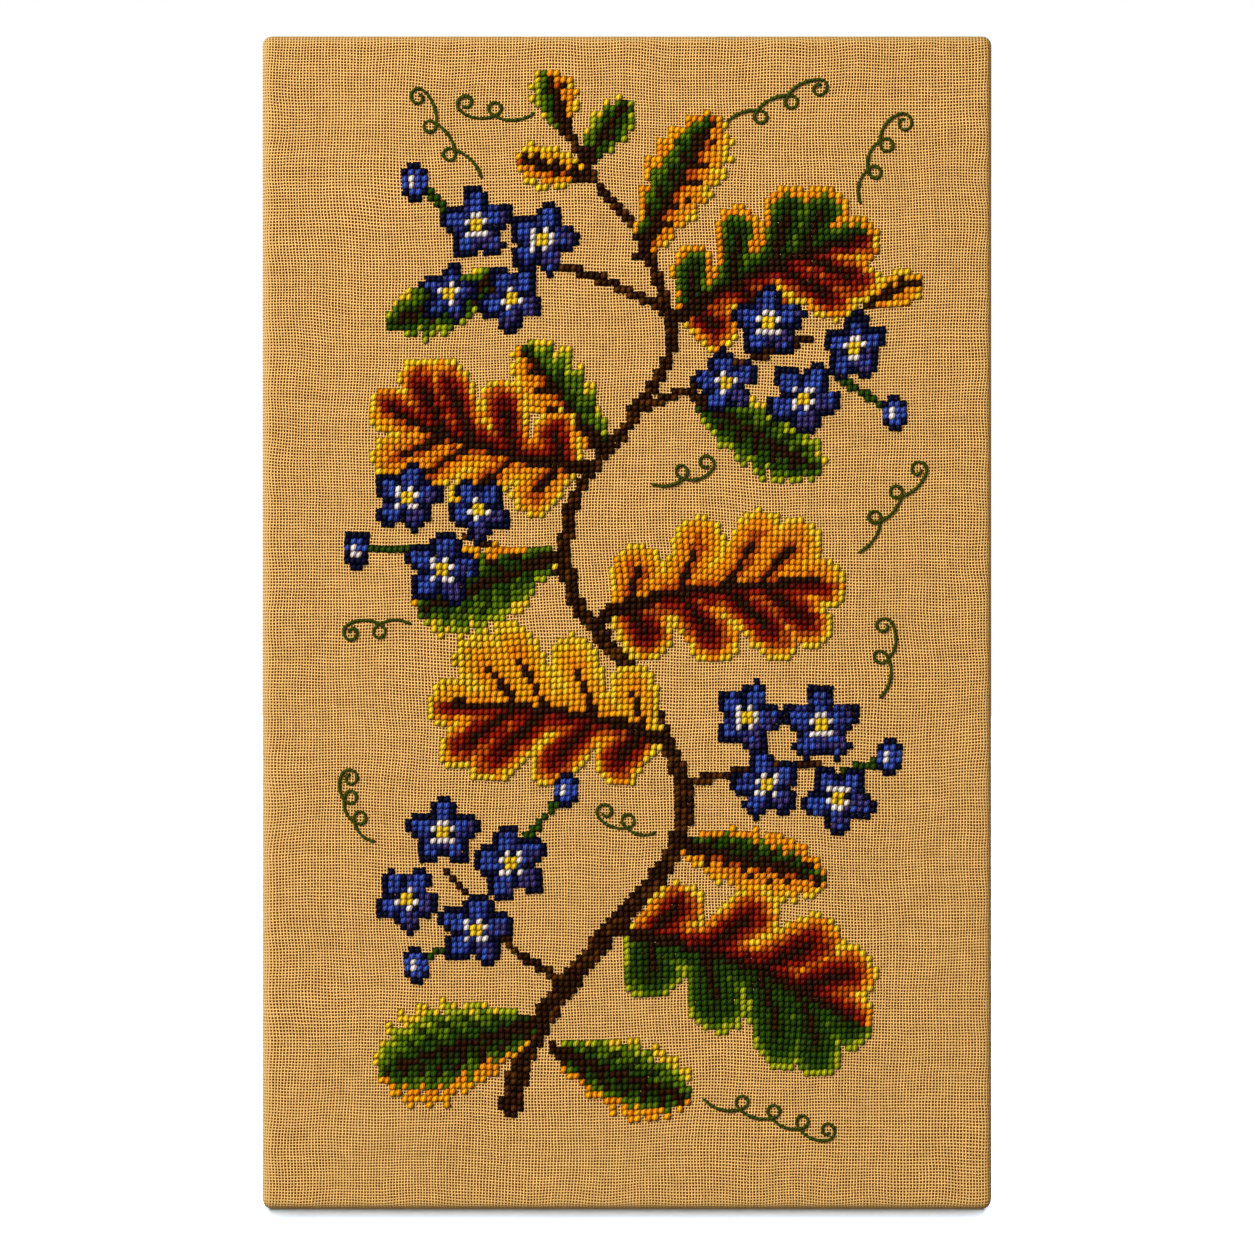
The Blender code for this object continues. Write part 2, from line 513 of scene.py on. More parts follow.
@dataclass(frozen=True)
class ToothedLeaf(Leaf):
    """A whole leaf with a saw edge, a vein to every tooth.

    Attributes:
        teeth: teeth on each side of the midrib.
    """

    teeth: int = 7

    SLANT = 0.75  # how far a vein runs towards the tip for each square out
    WIDEST = 0.45  # where the leaf is widest, of its length
    FULL = 0.72  # below 1, the outline is fuller than a sine
    NOTCH = 0.24  # how deep the saw edge is cut, of the half width
    VEIN_TO = 0.66  # how far out the veins run
    DARKER = 0.25  # how much darker the leaf is along a vein than between two
    LEAST_HALF = 0.01  # keeps the sum whole where the leaf has no breadth

    def shape(self, along: np.ndarray, out: np.ndarray) -> tuple[np.ndarray, np.ndarray]:
        """Shapes one half of the leaf by its outline and teeth.

        Args:
            along: each square's share of the way from base to tip.
            out: its distance from the midrib, on this half.

        Returns:
            How near the edge each square is, 1 at the edge, and where the veins run.
        """
        place = along - self.SLANT * np.abs(out) / self.length
        within = (place > 0) & (place < 1)
        place = np.clip(place, 0, 1)
        swell = np.sin(math.pi * place ** (math.log(0.5) / math.log(self.WIDEST))) ** self.FULL
        step = place * self.teeth % 1.0
        half = self.breadth * swell * (1 - self.NOTCH + self.NOTCH * step)
        share = np.abs(out) / np.maximum(half, self.LEAST_HALF)
        from_vein = np.abs(step - 0.5) * 2
        vein = (from_vein / 2 * self.length / self.teeth < self.VEIN) & (share < self.VEIN_TO)
        depth = (1 - self.DARKER) * share + self.DARKER * share * from_vein
        return np.where(within, depth, self.OUTSIDE), vein & within


@dataclass(frozen=True)
class Flower:
    """A blue flower with round petals, a navy outline, pale rays and a gold middle.

    Attributes:
        centre: its middle, in squares.
        radius: its reach, in squares.
        turn: the direction of its first petal, in degrees.
        petals: how many petals.
    """

    centre: Point
    radius: float = 6.5
    turn: float = 90.0
    petals: int = 5

    CLEFT = 0.62  # how far out the petals part, of the radius
    BLUNT = 0.55  # below 1, the petals' ends are blunter than a wave
    OUTLINE = 1.05  # the outline's width, in squares
    PARTING = 0.08  # the navy between petals reaches to this height of the wave
    HOLLOW = 0.45  # and the dusky blue to this one
    FLECKS = 0.1  # the share of dusky squares elsewhere
    FAR_SIDE = 0.45  # where the violet side begins, to the lower right, of the radius
    VIOLET = 0.7  # the share of violet squares there
    RAYS = 0.36  # the reach of the pale rays, of the radius
    RAY_PARTING = 0.35  # no ray where the wave is lower than this
    EYE = 0.19  # the gold middle's radius, of the flower's

    def paint(self, chart: Chart) -> None:
        """Marks the flower on the chart.

        Args:
            chart: the chart.
        """
        rx, rz = chart.x - self.centre[0], chart.z - self.centre[1]
        reach = np.hypot(rx, rz)
        wave = 0.5 + 0.5 * np.cos(self.petals * (np.arctan2(rz, rx) - math.radians(self.turn)))
        edge = self.radius * (self.CLEFT + (1 - self.CLEFT) * wave ** self.BLUNT)
        chart.paint(reach < edge, Yarn.NAVY)
        petal = (reach < edge - self.OUTLINE) & (wave > self.PARTING)
        chart.paint(petal, Yarn.BLUE)
        chart.paint(petal & ((wave < self.HOLLOW) | (chart.speckle < self.FLECKS)), Yarn.INDIGO)
        far_side = rx - rz > self.FAR_SIDE * self.radius
        chart.paint(petal & far_side & (chart.speckle > 1 - self.VIOLET), Yarn.VIOLET)
        chart.paint((reach < self.RAYS * self.radius) & (wave > self.RAY_PARTING), Yarn.CREAM)
        chart.paint(reach < self.EYE * self.radius, Yarn.GOLD)


@dataclass(frozen=True)
class Bud:
    """A closed blue bud with a pale gleam, on a thin green stalk.

    Attributes:
        centre: its middle, in squares.
        foot: where its stalk begins.
        radius: its reach, in squares.
    """

    centre: Point
    foot: Point
    radius: float = 2.4

    STRETCH = 0.8  # below 1, the bud is taller than wide
    OUTLINE = 0.8  # the outline's width, in squares
    GLEAM = 1.0  # the gleam's radius, in squares

    def paint(self, chart: Chart) -> None:
        """Marks the bud on the chart.

        Args:
            chart: the chart.
        """
        for x, z in smooth_route((self.foot, self.centre)):
            chart.paint((np.abs(chart.x - x) < 0.5) & (np.abs(chart.z - z) < 0.5), Yarn.GREEN)
        rx, rz = chart.x - self.centre[0], (chart.z - self.centre[1]) * self.STRETCH
        reach = np.hypot(rx, rz)
        chart.paint(reach < self.radius, Yarn.NAVY)
        chart.paint(reach < self.radius - self.OUTLINE, Yarn.BLUE)
        chart.paint((reach < self.GLEAM) & (rx + rz < 0), Yarn.CREAM)


@dataclass(frozen=True)
class Curl:
    """A thin line in stem stitch: arches with small loops between them, wound up at the end, in squares.

    Attributes:
        start: where it begins.
        heading: its mean direction, in degrees.
        arches: how many arches it makes.
        side: 1 to turn to the right all along, -1 to the left.
        arch: the length of one arch.
        bend: how far an arch turns, in degrees.
        drift: how far the mean direction swings from one arch to the next, in degrees.
        loop: the radius of the loops and of the wound end.
    """

    start: Point
    heading: float
    arches: int
    side: int = 1
    arch: float = 7.5
    bend: float = 75.0
    drift: float = 0.0
    loop: float = 1.0

    STEP = 0.2  # from one point of the line to the next
    SHORTER = 0.06  # how much shorter each arch is than the one before, of the first
    END_TURN = 430.0  # how far the end winds up, in degrees
    WIND_FROM = 1.5  # and between which radii, of a loop's
    WIND_TO = 0.45

    def line(self) -> np.ndarray:
        """Follows the curl.

        Returns:
            Points along it, a STEP apart, in squares.
        """
        turns: list[float] = []
        for number in range(self.arches):
            count = round(self.arch * (1 - self.SHORTER * number) / self.STEP)
            turns += [(self.bend + self.drift * self.side) / count] * count
            if number < self.arches - 1:
                turns += self.winding(360 - self.bend, self.loop, self.loop)
        turns += self.winding(self.END_TURN, self.loop * self.WIND_FROM, self.loop * self.WIND_TO)
        first = self.heading + self.side * self.bend / 2
        headings = np.radians(first - self.side * np.cumsum(turns))
        ways = np.column_stack([np.cos(headings), np.sin(headings)]) * self.STEP
        return np.vstack([self.start, self.start + np.cumsum(ways, axis=0)])

    def winding(self, whole: float, first: float, last: float) -> list[float]:
        """Turns by a whole angle while the radius changes.

        Args:
            whole: the whole angle, in degrees.
            first: the radius at its start, in squares.
            last: the radius at its end.

        Returns:
            The turn at each step, in degrees.
        """
        turns: list[float] = []
        while sum(turns) < whole:
            radius = first + (last - first) * sum(turns) / whole
            turns.append(math.degrees(self.STEP / radius))
        return turns


@dataclass(frozen=True)
class Design:
    """An upright flowering branch: lobed leaves in autumn shades, toothed green leaves and blue flowers."""

    def stems(self) -> list[Stem]:
        """Lists the main stem and its side stems.

        Returns:
            The stems.
        """
        main = (
            (41, 18), (45, 30), (56, 44), (67, 57), (69, 71), (61, 87),
            (51, 101), (52, 117), (61, 130), (67, 143), (63, 158), (55, 168), (50, 178),
        )
        return [
            Stem(main, 1.7, 0.6),
            Stem(((61, 131), (70, 135), (80, 140), (90, 144))),
            Stem(((51, 104), (42, 107), (33, 111))),
            Stem(((69, 70), (78, 72), (92, 74))),
            Stem(((50, 38), (42, 42), (36, 50), (30, 56))),
            Stem(((66, 148), (56, 153), (44, 156))),
        ]

    def leaves(self) -> list[Leaf]:
        """Lists the leaves: base, tip, breadth, shades and the number of teeth, or the bow of a lobed one.

        Returns:
            The toothed leaves, then the large lobed ones over them.
        """
        toothed = [
            ((46, 31), (19, 23), 7.5, (TURNING, MEADOW), 8),
            ((47, 27), (70, 18), 5.5, (MEADOW, TURNING), 7),
            ((68, 60), (93, 54), 5.5, (TURNING, FLAME), 8),
            ((50, 108), (26, 98), 6.5, (MEADOW, TURNING), 7),
            ((62, 156), (75, 180), 6.0, (TURNING, FLAME), 7),
            ((57, 124), (43, 142), 5.5, (FLAME, MEADOW), 6),
            ((70, 134), (92, 122), 5.5, (MEADOW, FOREST), 7),
            ((40, 154), (20, 146), 4.5, (FOREST, MEADOW), 6),
            ((54, 169), (42, 172), 3.3, (FLAME, SUNNY), 4),
            ((53, 171), (60, 182), 3.2, (MEADOW, FOREST), 4),
            ((50, 176), (47, 187), 3.4, (MEADOW, FLAME), 4),
            ((98, 149), (108, 152), 3.0, (SUNNY, FLAME), 4),
        ]
        lobed = [
            ((54, 122), (18, 133), 11.5, (FLAME, EMBER), 2.0),
            ((67, 77), (27, 84), 12.5, (EMBER, SUNNY), -2.0),
            ((59, 46), (100, 29), 12.5, (EMBER, FOREST), 2.0),
            ((55, 97), (96, 103), 12.0, (FLAME, EMBER), 2.0),
            ((67, 146), (101, 160), 11.0, (TURNING, EMBER), 2.0),
        ]
        whole = [ToothedLeaf(*row, teeth=teeth) for *row, teeth in toothed]
        return whole + [LobedLeaf(*row) for row in lobed]

    def flowers(self) -> list[Flower | Bud]:
        """Lists the flowers by middle, radius and turn, and the buds by middle and foot.

        Returns:
            The buds, then the flowers over them.
        """
        open_ones = [
            (83, 146, 6.0, 20), (76, 136, 5.6, 100), (89, 134, 6.4, 60), (97, 142, 5.6, 90),
            (24, 117, 6.0, 80), (36, 115, 5.6, 50), (30, 105, 6.4, 10),
            (80, 81, 6.0, 70), (92, 80, 6.4, 90), (83, 70, 6.0, 30), (95, 68, 6.0, 55),
            (30, 62, 6.0, 90), (41, 57, 6.4, 30), (24, 51, 5.6, 60), (35, 46, 6.4, 10),
            (46, 159, 6.0, 75), (35, 162, 6.2, 20), (41, 150, 5.8, 50), (30, 151, 5.0, 80),
        ]
        closed = [
            ((104, 131), (95, 137)), ((16, 108.4), (26, 108.4)), ((103, 75), (95, 72)),
            ((25, 169), (32, 163)), ((25, 40), (33, 45)), ((50, 69), (43, 60)),
        ]
        return [*(Bud(*pair) for pair in closed), *(Flower(row[:2], *row[2:]) for row in open_ones)]

    def curls(self) -> list[Curl]:
        """Lists the stem-stitched lines by foot and heading.

        Returns:
            The curls.
        """
        return [
            Curl((76, 178), 20, 3, drift=-6),
            Curl((36, 169), 140, 3, side=-1, drift=14),
            Curl((98, 165), 75, 3, drift=6),
            Curl((98, 108), 62, 3, side=-1, drift=10),
            Curl((65, 62), 168, 2, arch=6.0),
            Curl((101, 84), 80, 2, side=-1, drift=4),
            Curl((19, 60), 140, 3, drift=14, arch=6.0),
            Curl((72, 18), -8, 4, side=-1, drift=6),
            Curl((64, 119), 12, 2, side=-1, arch=6.5),
            Curl((25, 96), 185, 2, side=-1, drift=8, arch=6.5),
            Curl((45, 180), 183, 2, drift=6),
        ]

    def chart(self) -> Chart:
        """Works the motifs on to a chart, the nearest ones last.

        Returns:
            The chart.
        """
        made = Chart()
        for motif in [*self.stems(), *self.leaves(), *self.flowers()]:
            motif.paint(made)
        return made


@dataclass(frozen=True)
class Weave:
    """The evenweave's count, and how its threads wander from a straight grid.

    Attributes:
        width: the face's width.
        height: the face's height.
        pitch: from one thread to the next.
        seed: seed of the wandering.
    """

    width: float
    height: float
    pitch: float = 1.25 * MM
    seed: int = 5

    # Long waves, each with its length and size, and cusps where the edges are pulled over the bars.
    WAVES = ((150 * MM, 1.2 * MM), (85 * MM, 0.8 * MM), (46 * MM, 0.45 * MM), (27 * MM, 0.2 * MM))
    CUSP_LENGTH = 31.0 * MM
    CUSP_REACH = 14.0 * MM
    CUSP_PULL = 0.55 * MM
    ROUNDS = 4  # so many steps bring a drifted place near enough

    def wander(self, x: np.ndarray, z: np.ndarray) -> tuple[np.ndarray, np.ndarray]:
        """Says how far the threads have drifted at each place on the face.

        Args:
            x: places across, from the middle.
            z: places up, from the bottom edge.

        Returns:
            The drift across and the drift up.
        """
        rng = np.random.default_rng(self.seed)
        drift = [np.zeros_like(x), np.zeros_like(x)]
        for length, size in self.WAVES:
            for axis in range(2):
                for _ in range(2):
                    heading, phase = rng.uniform(0, math.pi), rng.uniform(0, 2 * math.pi)
                    way = x * math.cos(heading) + z * math.sin(heading)
                    drift[axis] += size / 2 * np.sin(2 * math.pi * way / length + phase)
        for axis, (near, far) in enumerate([(x + self.width / 2, self.width / 2 - x), (z, self.height - z)]):
            beside = (z, x)[axis]
            for edge, sign in ((near, 1), (far, -1)):
                pull = np.exp(-np.maximum(edge, 0) / self.CUSP_REACH) * self.CUSP_PULL * sign
                drift[axis] += pull * np.cos(2 * math.pi * beside / self.CUSP_LENGTH + axis + sign)
        return drift[0], drift[1]

    def place(self, across: np.ndarray, up: np.ndarray) -> tuple[np.ndarray, np.ndarray]:
        """Finds where a point of the straight grid has drifted to.

        Args:
            across: the point's place on the grid, from the middle.
            up: the point's place on the grid, from the bottom edge.

        Returns:
            Its place on the face, across and up.
        """
        x, z = across, up
        for _ in range(self.ROUNDS):
            dx, dz = self.wander(x, z)
            x, z = across - dx, up - dz
        return x, z


@dataclass(frozen=True)
class Thread:
    """What the linen's nodes know about the threads that run one way.

    Attributes:
        index: the number of the nearest thread.
        away: the distance from its middle, in pitches.
        half: half its width, in pitches.
        chance: a number from 0 to 1, its own.
        along: the place along it, in pitches.
    """

    index: Source
    away: Source
    half: Source
    chance: Source
    along: Source


@dataclass(frozen=True)
class EvenweaveLinen:
    """Evenweave linen: plain-woven round threads, matt and unbleached.

    The eye gets a tan grid with a small dark hole between each four threads, closed up where it is turned.
    Every size below is in pitches, and every noise has so many lumps to a pitch.

    Attributes:
        pitch: from one thread to the next.
        shade: the colour down in the holes, painted shade, for the sheet under them is not cut through.
        middle: the colour of the threads' flanks, darker than their tops by painted shade.
        crown: the colour of their tops.
    """

    pitch: float = 1.25 * MM
    shade: str = "#4C1C00"
    middle: str = "#D08C00"
    crown: str = "#ECCA8C"

    COVER = (0.216, 0.229)  # half a thread's width, for the thinnest and the thickest
    TURNED_COVER = 0.145  # how much wider half a thread is where the cloth is turned
    SLUBS = (0.5, 0.14)  # lumps of the threads' thick and thin places, across them and along
    SLUB_SPAN = (0.3, 0.72)  # the part of that noise that is used
    STREAK = 0.032  # how much wider or narrower it makes half a thread
    WAVER = 0.5  # how far threads stray from their places
    WAVER_LUMPS = 0.22
    ROUND = 0.42  # how high a thread's middle stands over its edges
    SWING = 0.1  # how far it rises and sinks as it passes over and under
    DEPTH = 0.5  # how deep the holes are
    FIBRES = 5.0  # loose fibres to a pitch, and how far they stand out
    FUZZ = 0.12
    BUMP = 0.6  # the share of the relief that the light sees
    CLOUDS = 0.035  # lumps of the broad unevenness of tone
    UNEVEN = 0.02  # how far that goes, and each thread's own
    DARK_TO = 0.3  # the shares of the height where the holes' painted shade ends and where the flanks' lies
    FLANK_AT = 0.48
    # The turned edges get painted shade: all of them some, the top and bottom ends more, the creases most.
    TURNED_SHADE = (-0.345, -0.1, -0.6)  # painted shade for each part of the turned mark
    SEEDS = 31.7  # what sets the upright threads' chances apart from the level ones'
    LAYER = 7.3

    def make(self) -> Material:
        """Builds the finish on the cloth's own UV map, which is in metres.

        Returns:
            The material.
        """
        made, tree, shader = blank("evenweave_linen")
        turned = add(tree, "Attribute", attribute_name="turned").outputs["Vector"]
        place = self.place(tree)
        warp, weft = (self.threads(tree, place, turned, axis) for axis in range(2))
        height = self.height(tree, (warp, weft))
        tone = self.tone(tree, place, turned, (warp, weft))
        top = self.ROUND + self.SWING
        # The colour is painted by the relief's height: shade in the holes, less on the flanks, none on the
        # crowns.
        level = add(tree, "MapRange", {"Value": height, "From Min": -self.DEPTH, "From Max": top})
        ramp = add(tree, "ValToRGB", [level])
        dark, light = ramp.color_ramp.elements
        dark.color, dark.position = linear(self.shade), self.DARK_TO
        light.color = linear(self.crown)
        ramp.color_ramp.elements.new(self.FLANK_AT).color = linear(self.middle)
        colour = add(tree, "VectorMath", {0: ramp, "Scale": tone}, operation="SCALE")
        fibre = add(tree, "TexNoise", {"Vector": place, "Scale": self.FIBRES, "Detail": 3.0})
        rough = add(tree, "Math", (fibre, self.FUZZ, height), operation="MULTIPLY_ADD")
        bump = add(tree, "Bump", {"Height": rough, "Distance": self.pitch * self.BUMP})
        feed(shader, {"Base Color": colour, "Normal": bump, "Roughness": 0.82, "Specular IOR Level": 0.04})
        return made

    def place(self, tree: NodeTree) -> Source:
        """Turns metres along the cloth into threads, each thread a little out of its place.

        Args:
            tree: the material's node tree.

        Returns:
            The place, in threads across and up.
        """
        metres = add(tree, "UVMap", uv_map="weave")
        count = (1 / self.pitch, 1 / self.pitch, 0.0)
        straight = add(tree, "VectorMath", (metres, count), operation="MULTIPLY")
        noise = add(tree, "TexNoise", {"Vector": straight, "Scale": self.WAVER_LUMPS, "Detail": 2.0})
        centred = add(tree, "VectorMath", (noise.outputs["Color"], (0.5, 0.5, 0.5)), operation="SUBTRACT")
        reach = (self.WAVER, self.WAVER, 0.0)
        return add(tree, "VectorMath", (centred, reach, straight), operation="MULTIPLY_ADD")

    def threads(self, tree: NodeTree, place: Source, turned: Source, axis: int) -> Thread:
        """Counts the threads that run one way, and says how wide each is.

        Args:
            tree: the material's node tree.
            place: the place, in threads.
            turned: the mark of the turned edges.
            axis: 0 for the upright threads, 1 for the level ones.

        Returns:
            The nearest thread.
        """
        split = add(tree, "SeparateXYZ", [place]).outputs
        index = add(tree, "Math", [split[axis]], operation="FLOOR")
        part = add(tree, "Math", [split[axis]], operation="FRACT")
        off = add(tree, "Math", (part, 0.5), operation="SUBTRACT")
        away = add(tree, "Math", [off], operation="ABSOLUTE")
        seed = add(tree, "Math", (index, self.SEEDS * (axis + 1)), operation="ADD")
        chance = add(tree, "TexWhiteNoise", {"W": seed}, noise_dimensions="1D")
        half = add(tree, "MapRange", {"Value": chance, "To Min": self.COVER[0], "To Max": self.COVER[1]})
        across, along = self.SLUBS
        stretch = (across, along, 1.0) if axis == 0 else (along, across, 1.0)
        lane = {"Vector": place, "Scale": stretch, "Location": (0.0, 0.0, self.LAYER * axis)}
        slub = add(tree, "TexNoise", {"Vector": add(tree, "Mapping", lane), "Scale": 1.0, "Detail": 2.0})
        low, high = self.SLUB_SPAN
        span = {"From Min": low, "From Max": high, "To Min": -self.STREAK, "To Max": self.STREAK}
        swell = add(tree, "MapRange", {"Value": slub, **span})
        turn = add(tree, "SeparateXYZ", [turned])
        closed = add(tree, "Math", (turn, self.TURNED_COVER, swell), operation="MULTIPLY_ADD")
        wide = add(tree, "Math", (half, closed), operation="ADD")
        return Thread(index, away, wide, chance, split[1 - axis])

    def height(self, tree: NodeTree, threads: tuple[Thread, Thread]) -> Source:
        """Works out the weave's relief, in pitches: round threads that pass over and under by turns.

        Args:
            tree: the material's node tree.
            threads: the upright threads and the level ones.

        Returns:
            The relief's height.
        """
        reliefs = []
        for thread, swing in zip(threads, (self.SWING, -self.SWING)):
            share = add(tree, "Math", (thread.away, thread.half), operation="DIVIDE")
            square = add(tree, "Math", (share, share), operation="MULTIPLY")
            crown = add(tree, "Math", (square, -self.ROUND, self.ROUND), operation="MULTIPLY_ADD")
            turn = add(tree, "Math", (thread.along, thread.index), operation="ADD")
            angle = add(tree, "Math", (turn, math.pi, -math.pi / 2), operation="MULTIPLY_ADD")
            wave = add(tree, "Math", [angle], operation="COSINE")
            reliefs.append(add(tree, "Math", (wave, swing, crown), operation="MULTIPLY_ADD"))
        top = add(tree, "Math", reliefs, operation="MAXIMUM")
        return add(tree, "Math", (top, -self.DEPTH), operation="MAXIMUM")

    def tone(self, tree: NodeTree, place: Source, turned: Source, threads: tuple[Thread, Thread]) -> Source:
        """Makes each thread a little lighter or darker, and paints shade on the turned edges and in the
        creases.

        Args:
            tree: the material's node tree.
            place: the place, in threads.
            turned: the mark of the turned edges.
            threads: the upright threads and the level ones.

        Returns:
            What the colour is multiplied by.
        """
        span = {"To Min": 1 - self.UNEVEN, "To Max": 1 + self.UNEVEN}
        cloud = add(tree, "TexNoise", {"Vector": place, "Scale": self.CLOUDS, "Detail": 4.0})
        tone = add(tree, "MapRange", {"Value": cloud, **span})
        for thread in threads:
            own = add(tree, "MapRange", {"Value": thread.chance, **span})
            tone = add(tree, "Math", (tone, own), operation="MULTIPLY")
        painted_turn_shade = add(tree, "VectorMath", (turned, self.TURNED_SHADE), operation="DOT_PRODUCT")
        return add(tree, "Math", (painted_turn_shade.outputs["Value"], tone, tone), operation="MULTIPLY_ADD")


@dataclass(frozen=True)
class StrandedYarn:
    """Soft stranded yarn, or a raw thread, laid in short stitches.

    The eye gets a plump matt bead with a soft gleam along it, and painted shade at its ends where it dives
    into the cloth.

    Attributes:
        name: the material's name.
        hue: its sRGB colour.
        strands: plies round it.
        relief: how deep the grooves between the plies are.
        gleam: how strongly its fibres shine.
        ply_shading: how light it is between the plies and on top of them: painted shade and painted light.
    """

    name: str
    hue: str
    strands: int = 4
    relief: float = 0.2 * MM
    gleam: float = 0.03
    ply_shading: tuple[float, float] = (0.7, 1.18)

    LAY = 0.4  # the angle at which the plies run round, in radians

    def make(self) -> Material:
        """Builds the finish on the stitches' strand UV map and tone attribute, which carries each stitch's
        tone and painted shade.

        The map goes from 0 to 1 once round a stitch. A wave of scale s repeats after pi / (10 s).

        Returns:
            The material.
        """
        made, tree, shader = blank(self.name)
        tone = add(tree, "Attribute", attribute_name="tone").outputs["Fac"]
        way = add(tree, "UVMap", uv_map="strand")
        lay = add(tree, "Mapping", {"Vector": way, "Rotation": (0.0, 0.0, self.LAY)})
        wave = {"Vector": lay, "Scale": self.strands * math.pi / 10, "Distortion": 1.2, "Detail": 2.0}
        ply = add(tree, "TexWave", wave, bands_direction="Y").outputs["Fac"]
        low, high = self.ply_shading
        shaded = add(tree, "MapRange", {"Value": ply, "To Min": low, "To Max": high})
        both = add(tree, "Math", (tone, shaded), operation="MULTIPLY")
        colour = add(tree, "VectorMath", {0: linear(self.hue)[:3], "Scale": both}, operation="SCALE")
        bump = add(tree, "Bump", {"Height": ply, "Distance": self.relief, "Strength": 0.8})
        dull = {"Roughness": 0.4, "Specular IOR Level": self.gleam}
        feed(shader, {"Base Color": colour, "Normal": bump, **dull})
        return made


@dataclass(frozen=True)
class PlanedPine:
    """Planed pine, unvarnished.

    The eye gets pale wood with soft darker growth lines along the bar. Its fibres are drawn about twenty
    times as coarse as real ones, so that they show.

    Attributes:
        along: the axis that the grain follows, 0 for X or 2 for Z.
        pale: the colour of the early wood.
        grain: the colour of the late wood.
        line_pitch: from one growth line to the next.
        fibre: the width of a fibre as drawn.
        sway: the length across the grain over which the lines sway.
        swayed: how far they sway.
    """

    along: int
    pale: str = "#E3C393"
    grain: str = "#C8985F"
    line_pitch: float = 4.0 * MM
    fibre: float = 5.0 * MM / 7
    sway: float = 250.0 * MM / 7
    swayed: float = 20.0 * MM

    LONG = 0.045  # how much each noise is drawn out along the grain
    FIBRE_SHARE = 0.35  # how strongly the fibres show beside the growth lines
    RAMP = (0.45, 1.0)  # where the wood starts to darken, and where it is darkest
    ROUGH = (0.55, 0.75)
    RELIEF = 0.1 * MM

    def make(self) -> Material:
        """Builds the finish on Object coordinates.

        A diagonal wave of scale s repeats after pi / (5 s).

        Returns:
            The material.
        """
        made, tree, shader = blank(f"planed_pine_{'xyz'[self.along]}")
        stretch = [1.0, 1.0, 1.0]
        stretch[self.along] = self.LONG
        place = add(tree, "TexCoord").outputs["Object"]
        lay = add(tree, "Mapping", {"Vector": place, "Scale": stretch})
        noise = add(tree, "TexNoise", {"Vector": lay, "Scale": 1 / self.sway, "Detail": 2.0})
        reach = [self.swayed] * 3
        bent = add(tree, "VectorMath", (noise.outputs["Color"], reach, lay), operation="MULTIPLY_ADD")
        wave = {"Vector": bent, "Scale": math.pi / 5 / self.line_pitch, "Distortion": 1.5, "Detail": 2.0}
        rings = add(tree, "TexWave", wave, bands_direction="DIAGONAL", wave_profile="SAW").outputs["Fac"]
        fibre = add(tree, "TexNoise", {"Vector": lay, "Scale": 1 / self.fibre, "Detail": 2.0})
        mixed = add(tree, "Math", (fibre, self.FIBRE_SHARE, rings), operation="MULTIPLY_ADD")
        ramp = add(tree, "ValToRGB", [mixed])
        for stop, position, colour in zip(ramp.color_ramp.elements, self.RAMP, (self.pale, self.grain)):
            stop.position = position
            stop.color = linear(colour)
        rough = add(tree, "MapRange", {"Value": fibre, "To Min": self.ROUGH[0], "To Max": self.ROUGH[1]})
        bump = add(tree, "Bump", {"Height": mixed, "Distance": self.RELIEF, "Strength": 0.6})
        feed(shader, {"Base Color": ramp, "Roughness": rough, "Normal": bump})
        return made


@dataclass(frozen=True)
class MattPaint:
    """Matt paint, rolled on the floor.

    The eye gets a pale even ground with no gleam, a little cool, to look white under warm lamps.

    Attributes:
        colour: its sRGB colour.
    """

    colour: str = "#D4E6FE"

    def make(self) -> Material:
        """Builds the finish.

        Returns:
            The material.
        """
        made, _, shader = blank("matt_paint")
        feed(shader, {"Base Color": linear(self.colour), "Roughness": 0.9, "Specular IOR Level": 0.0})
        return made


@dataclass(frozen=True)
class LitPaper:
    """White paper lit from behind, for the surround.

    The eye gets an even white that nothing shades.

    Attributes:
        colour: its sRGB colour.
    """

    colour: str = "#FFFFFF"

    def make(self) -> Material:
        """Builds the finish.

        Returns:
            The material.
        """
        made, tree, _ = blank("lit_paper")
        glow = add(tree, "Emission", {"Color": linear(self.colour), "Strength": 1.0})
        feed(tree.nodes["Material Output"], {"Surface": glow})
        return made


@dataclass(frozen=True)
class Form:
    """One stitch, modelled once, as arrays that copies are made from.

    Attributes:
        points: its vertices, along +X from 0 to 1, +Z out of the cloth.
        triangles: its faces, three vertex numbers each.
        strand: for each face corner, how far along the stitch and how far round it.
        shade: for each vertex, how light it is: painted shade, lower where it dives into the cloth.
    """

    points: np.ndarray
    triangles: np.ndarray
    strand: np.ndarray
    shade: np.ndarray


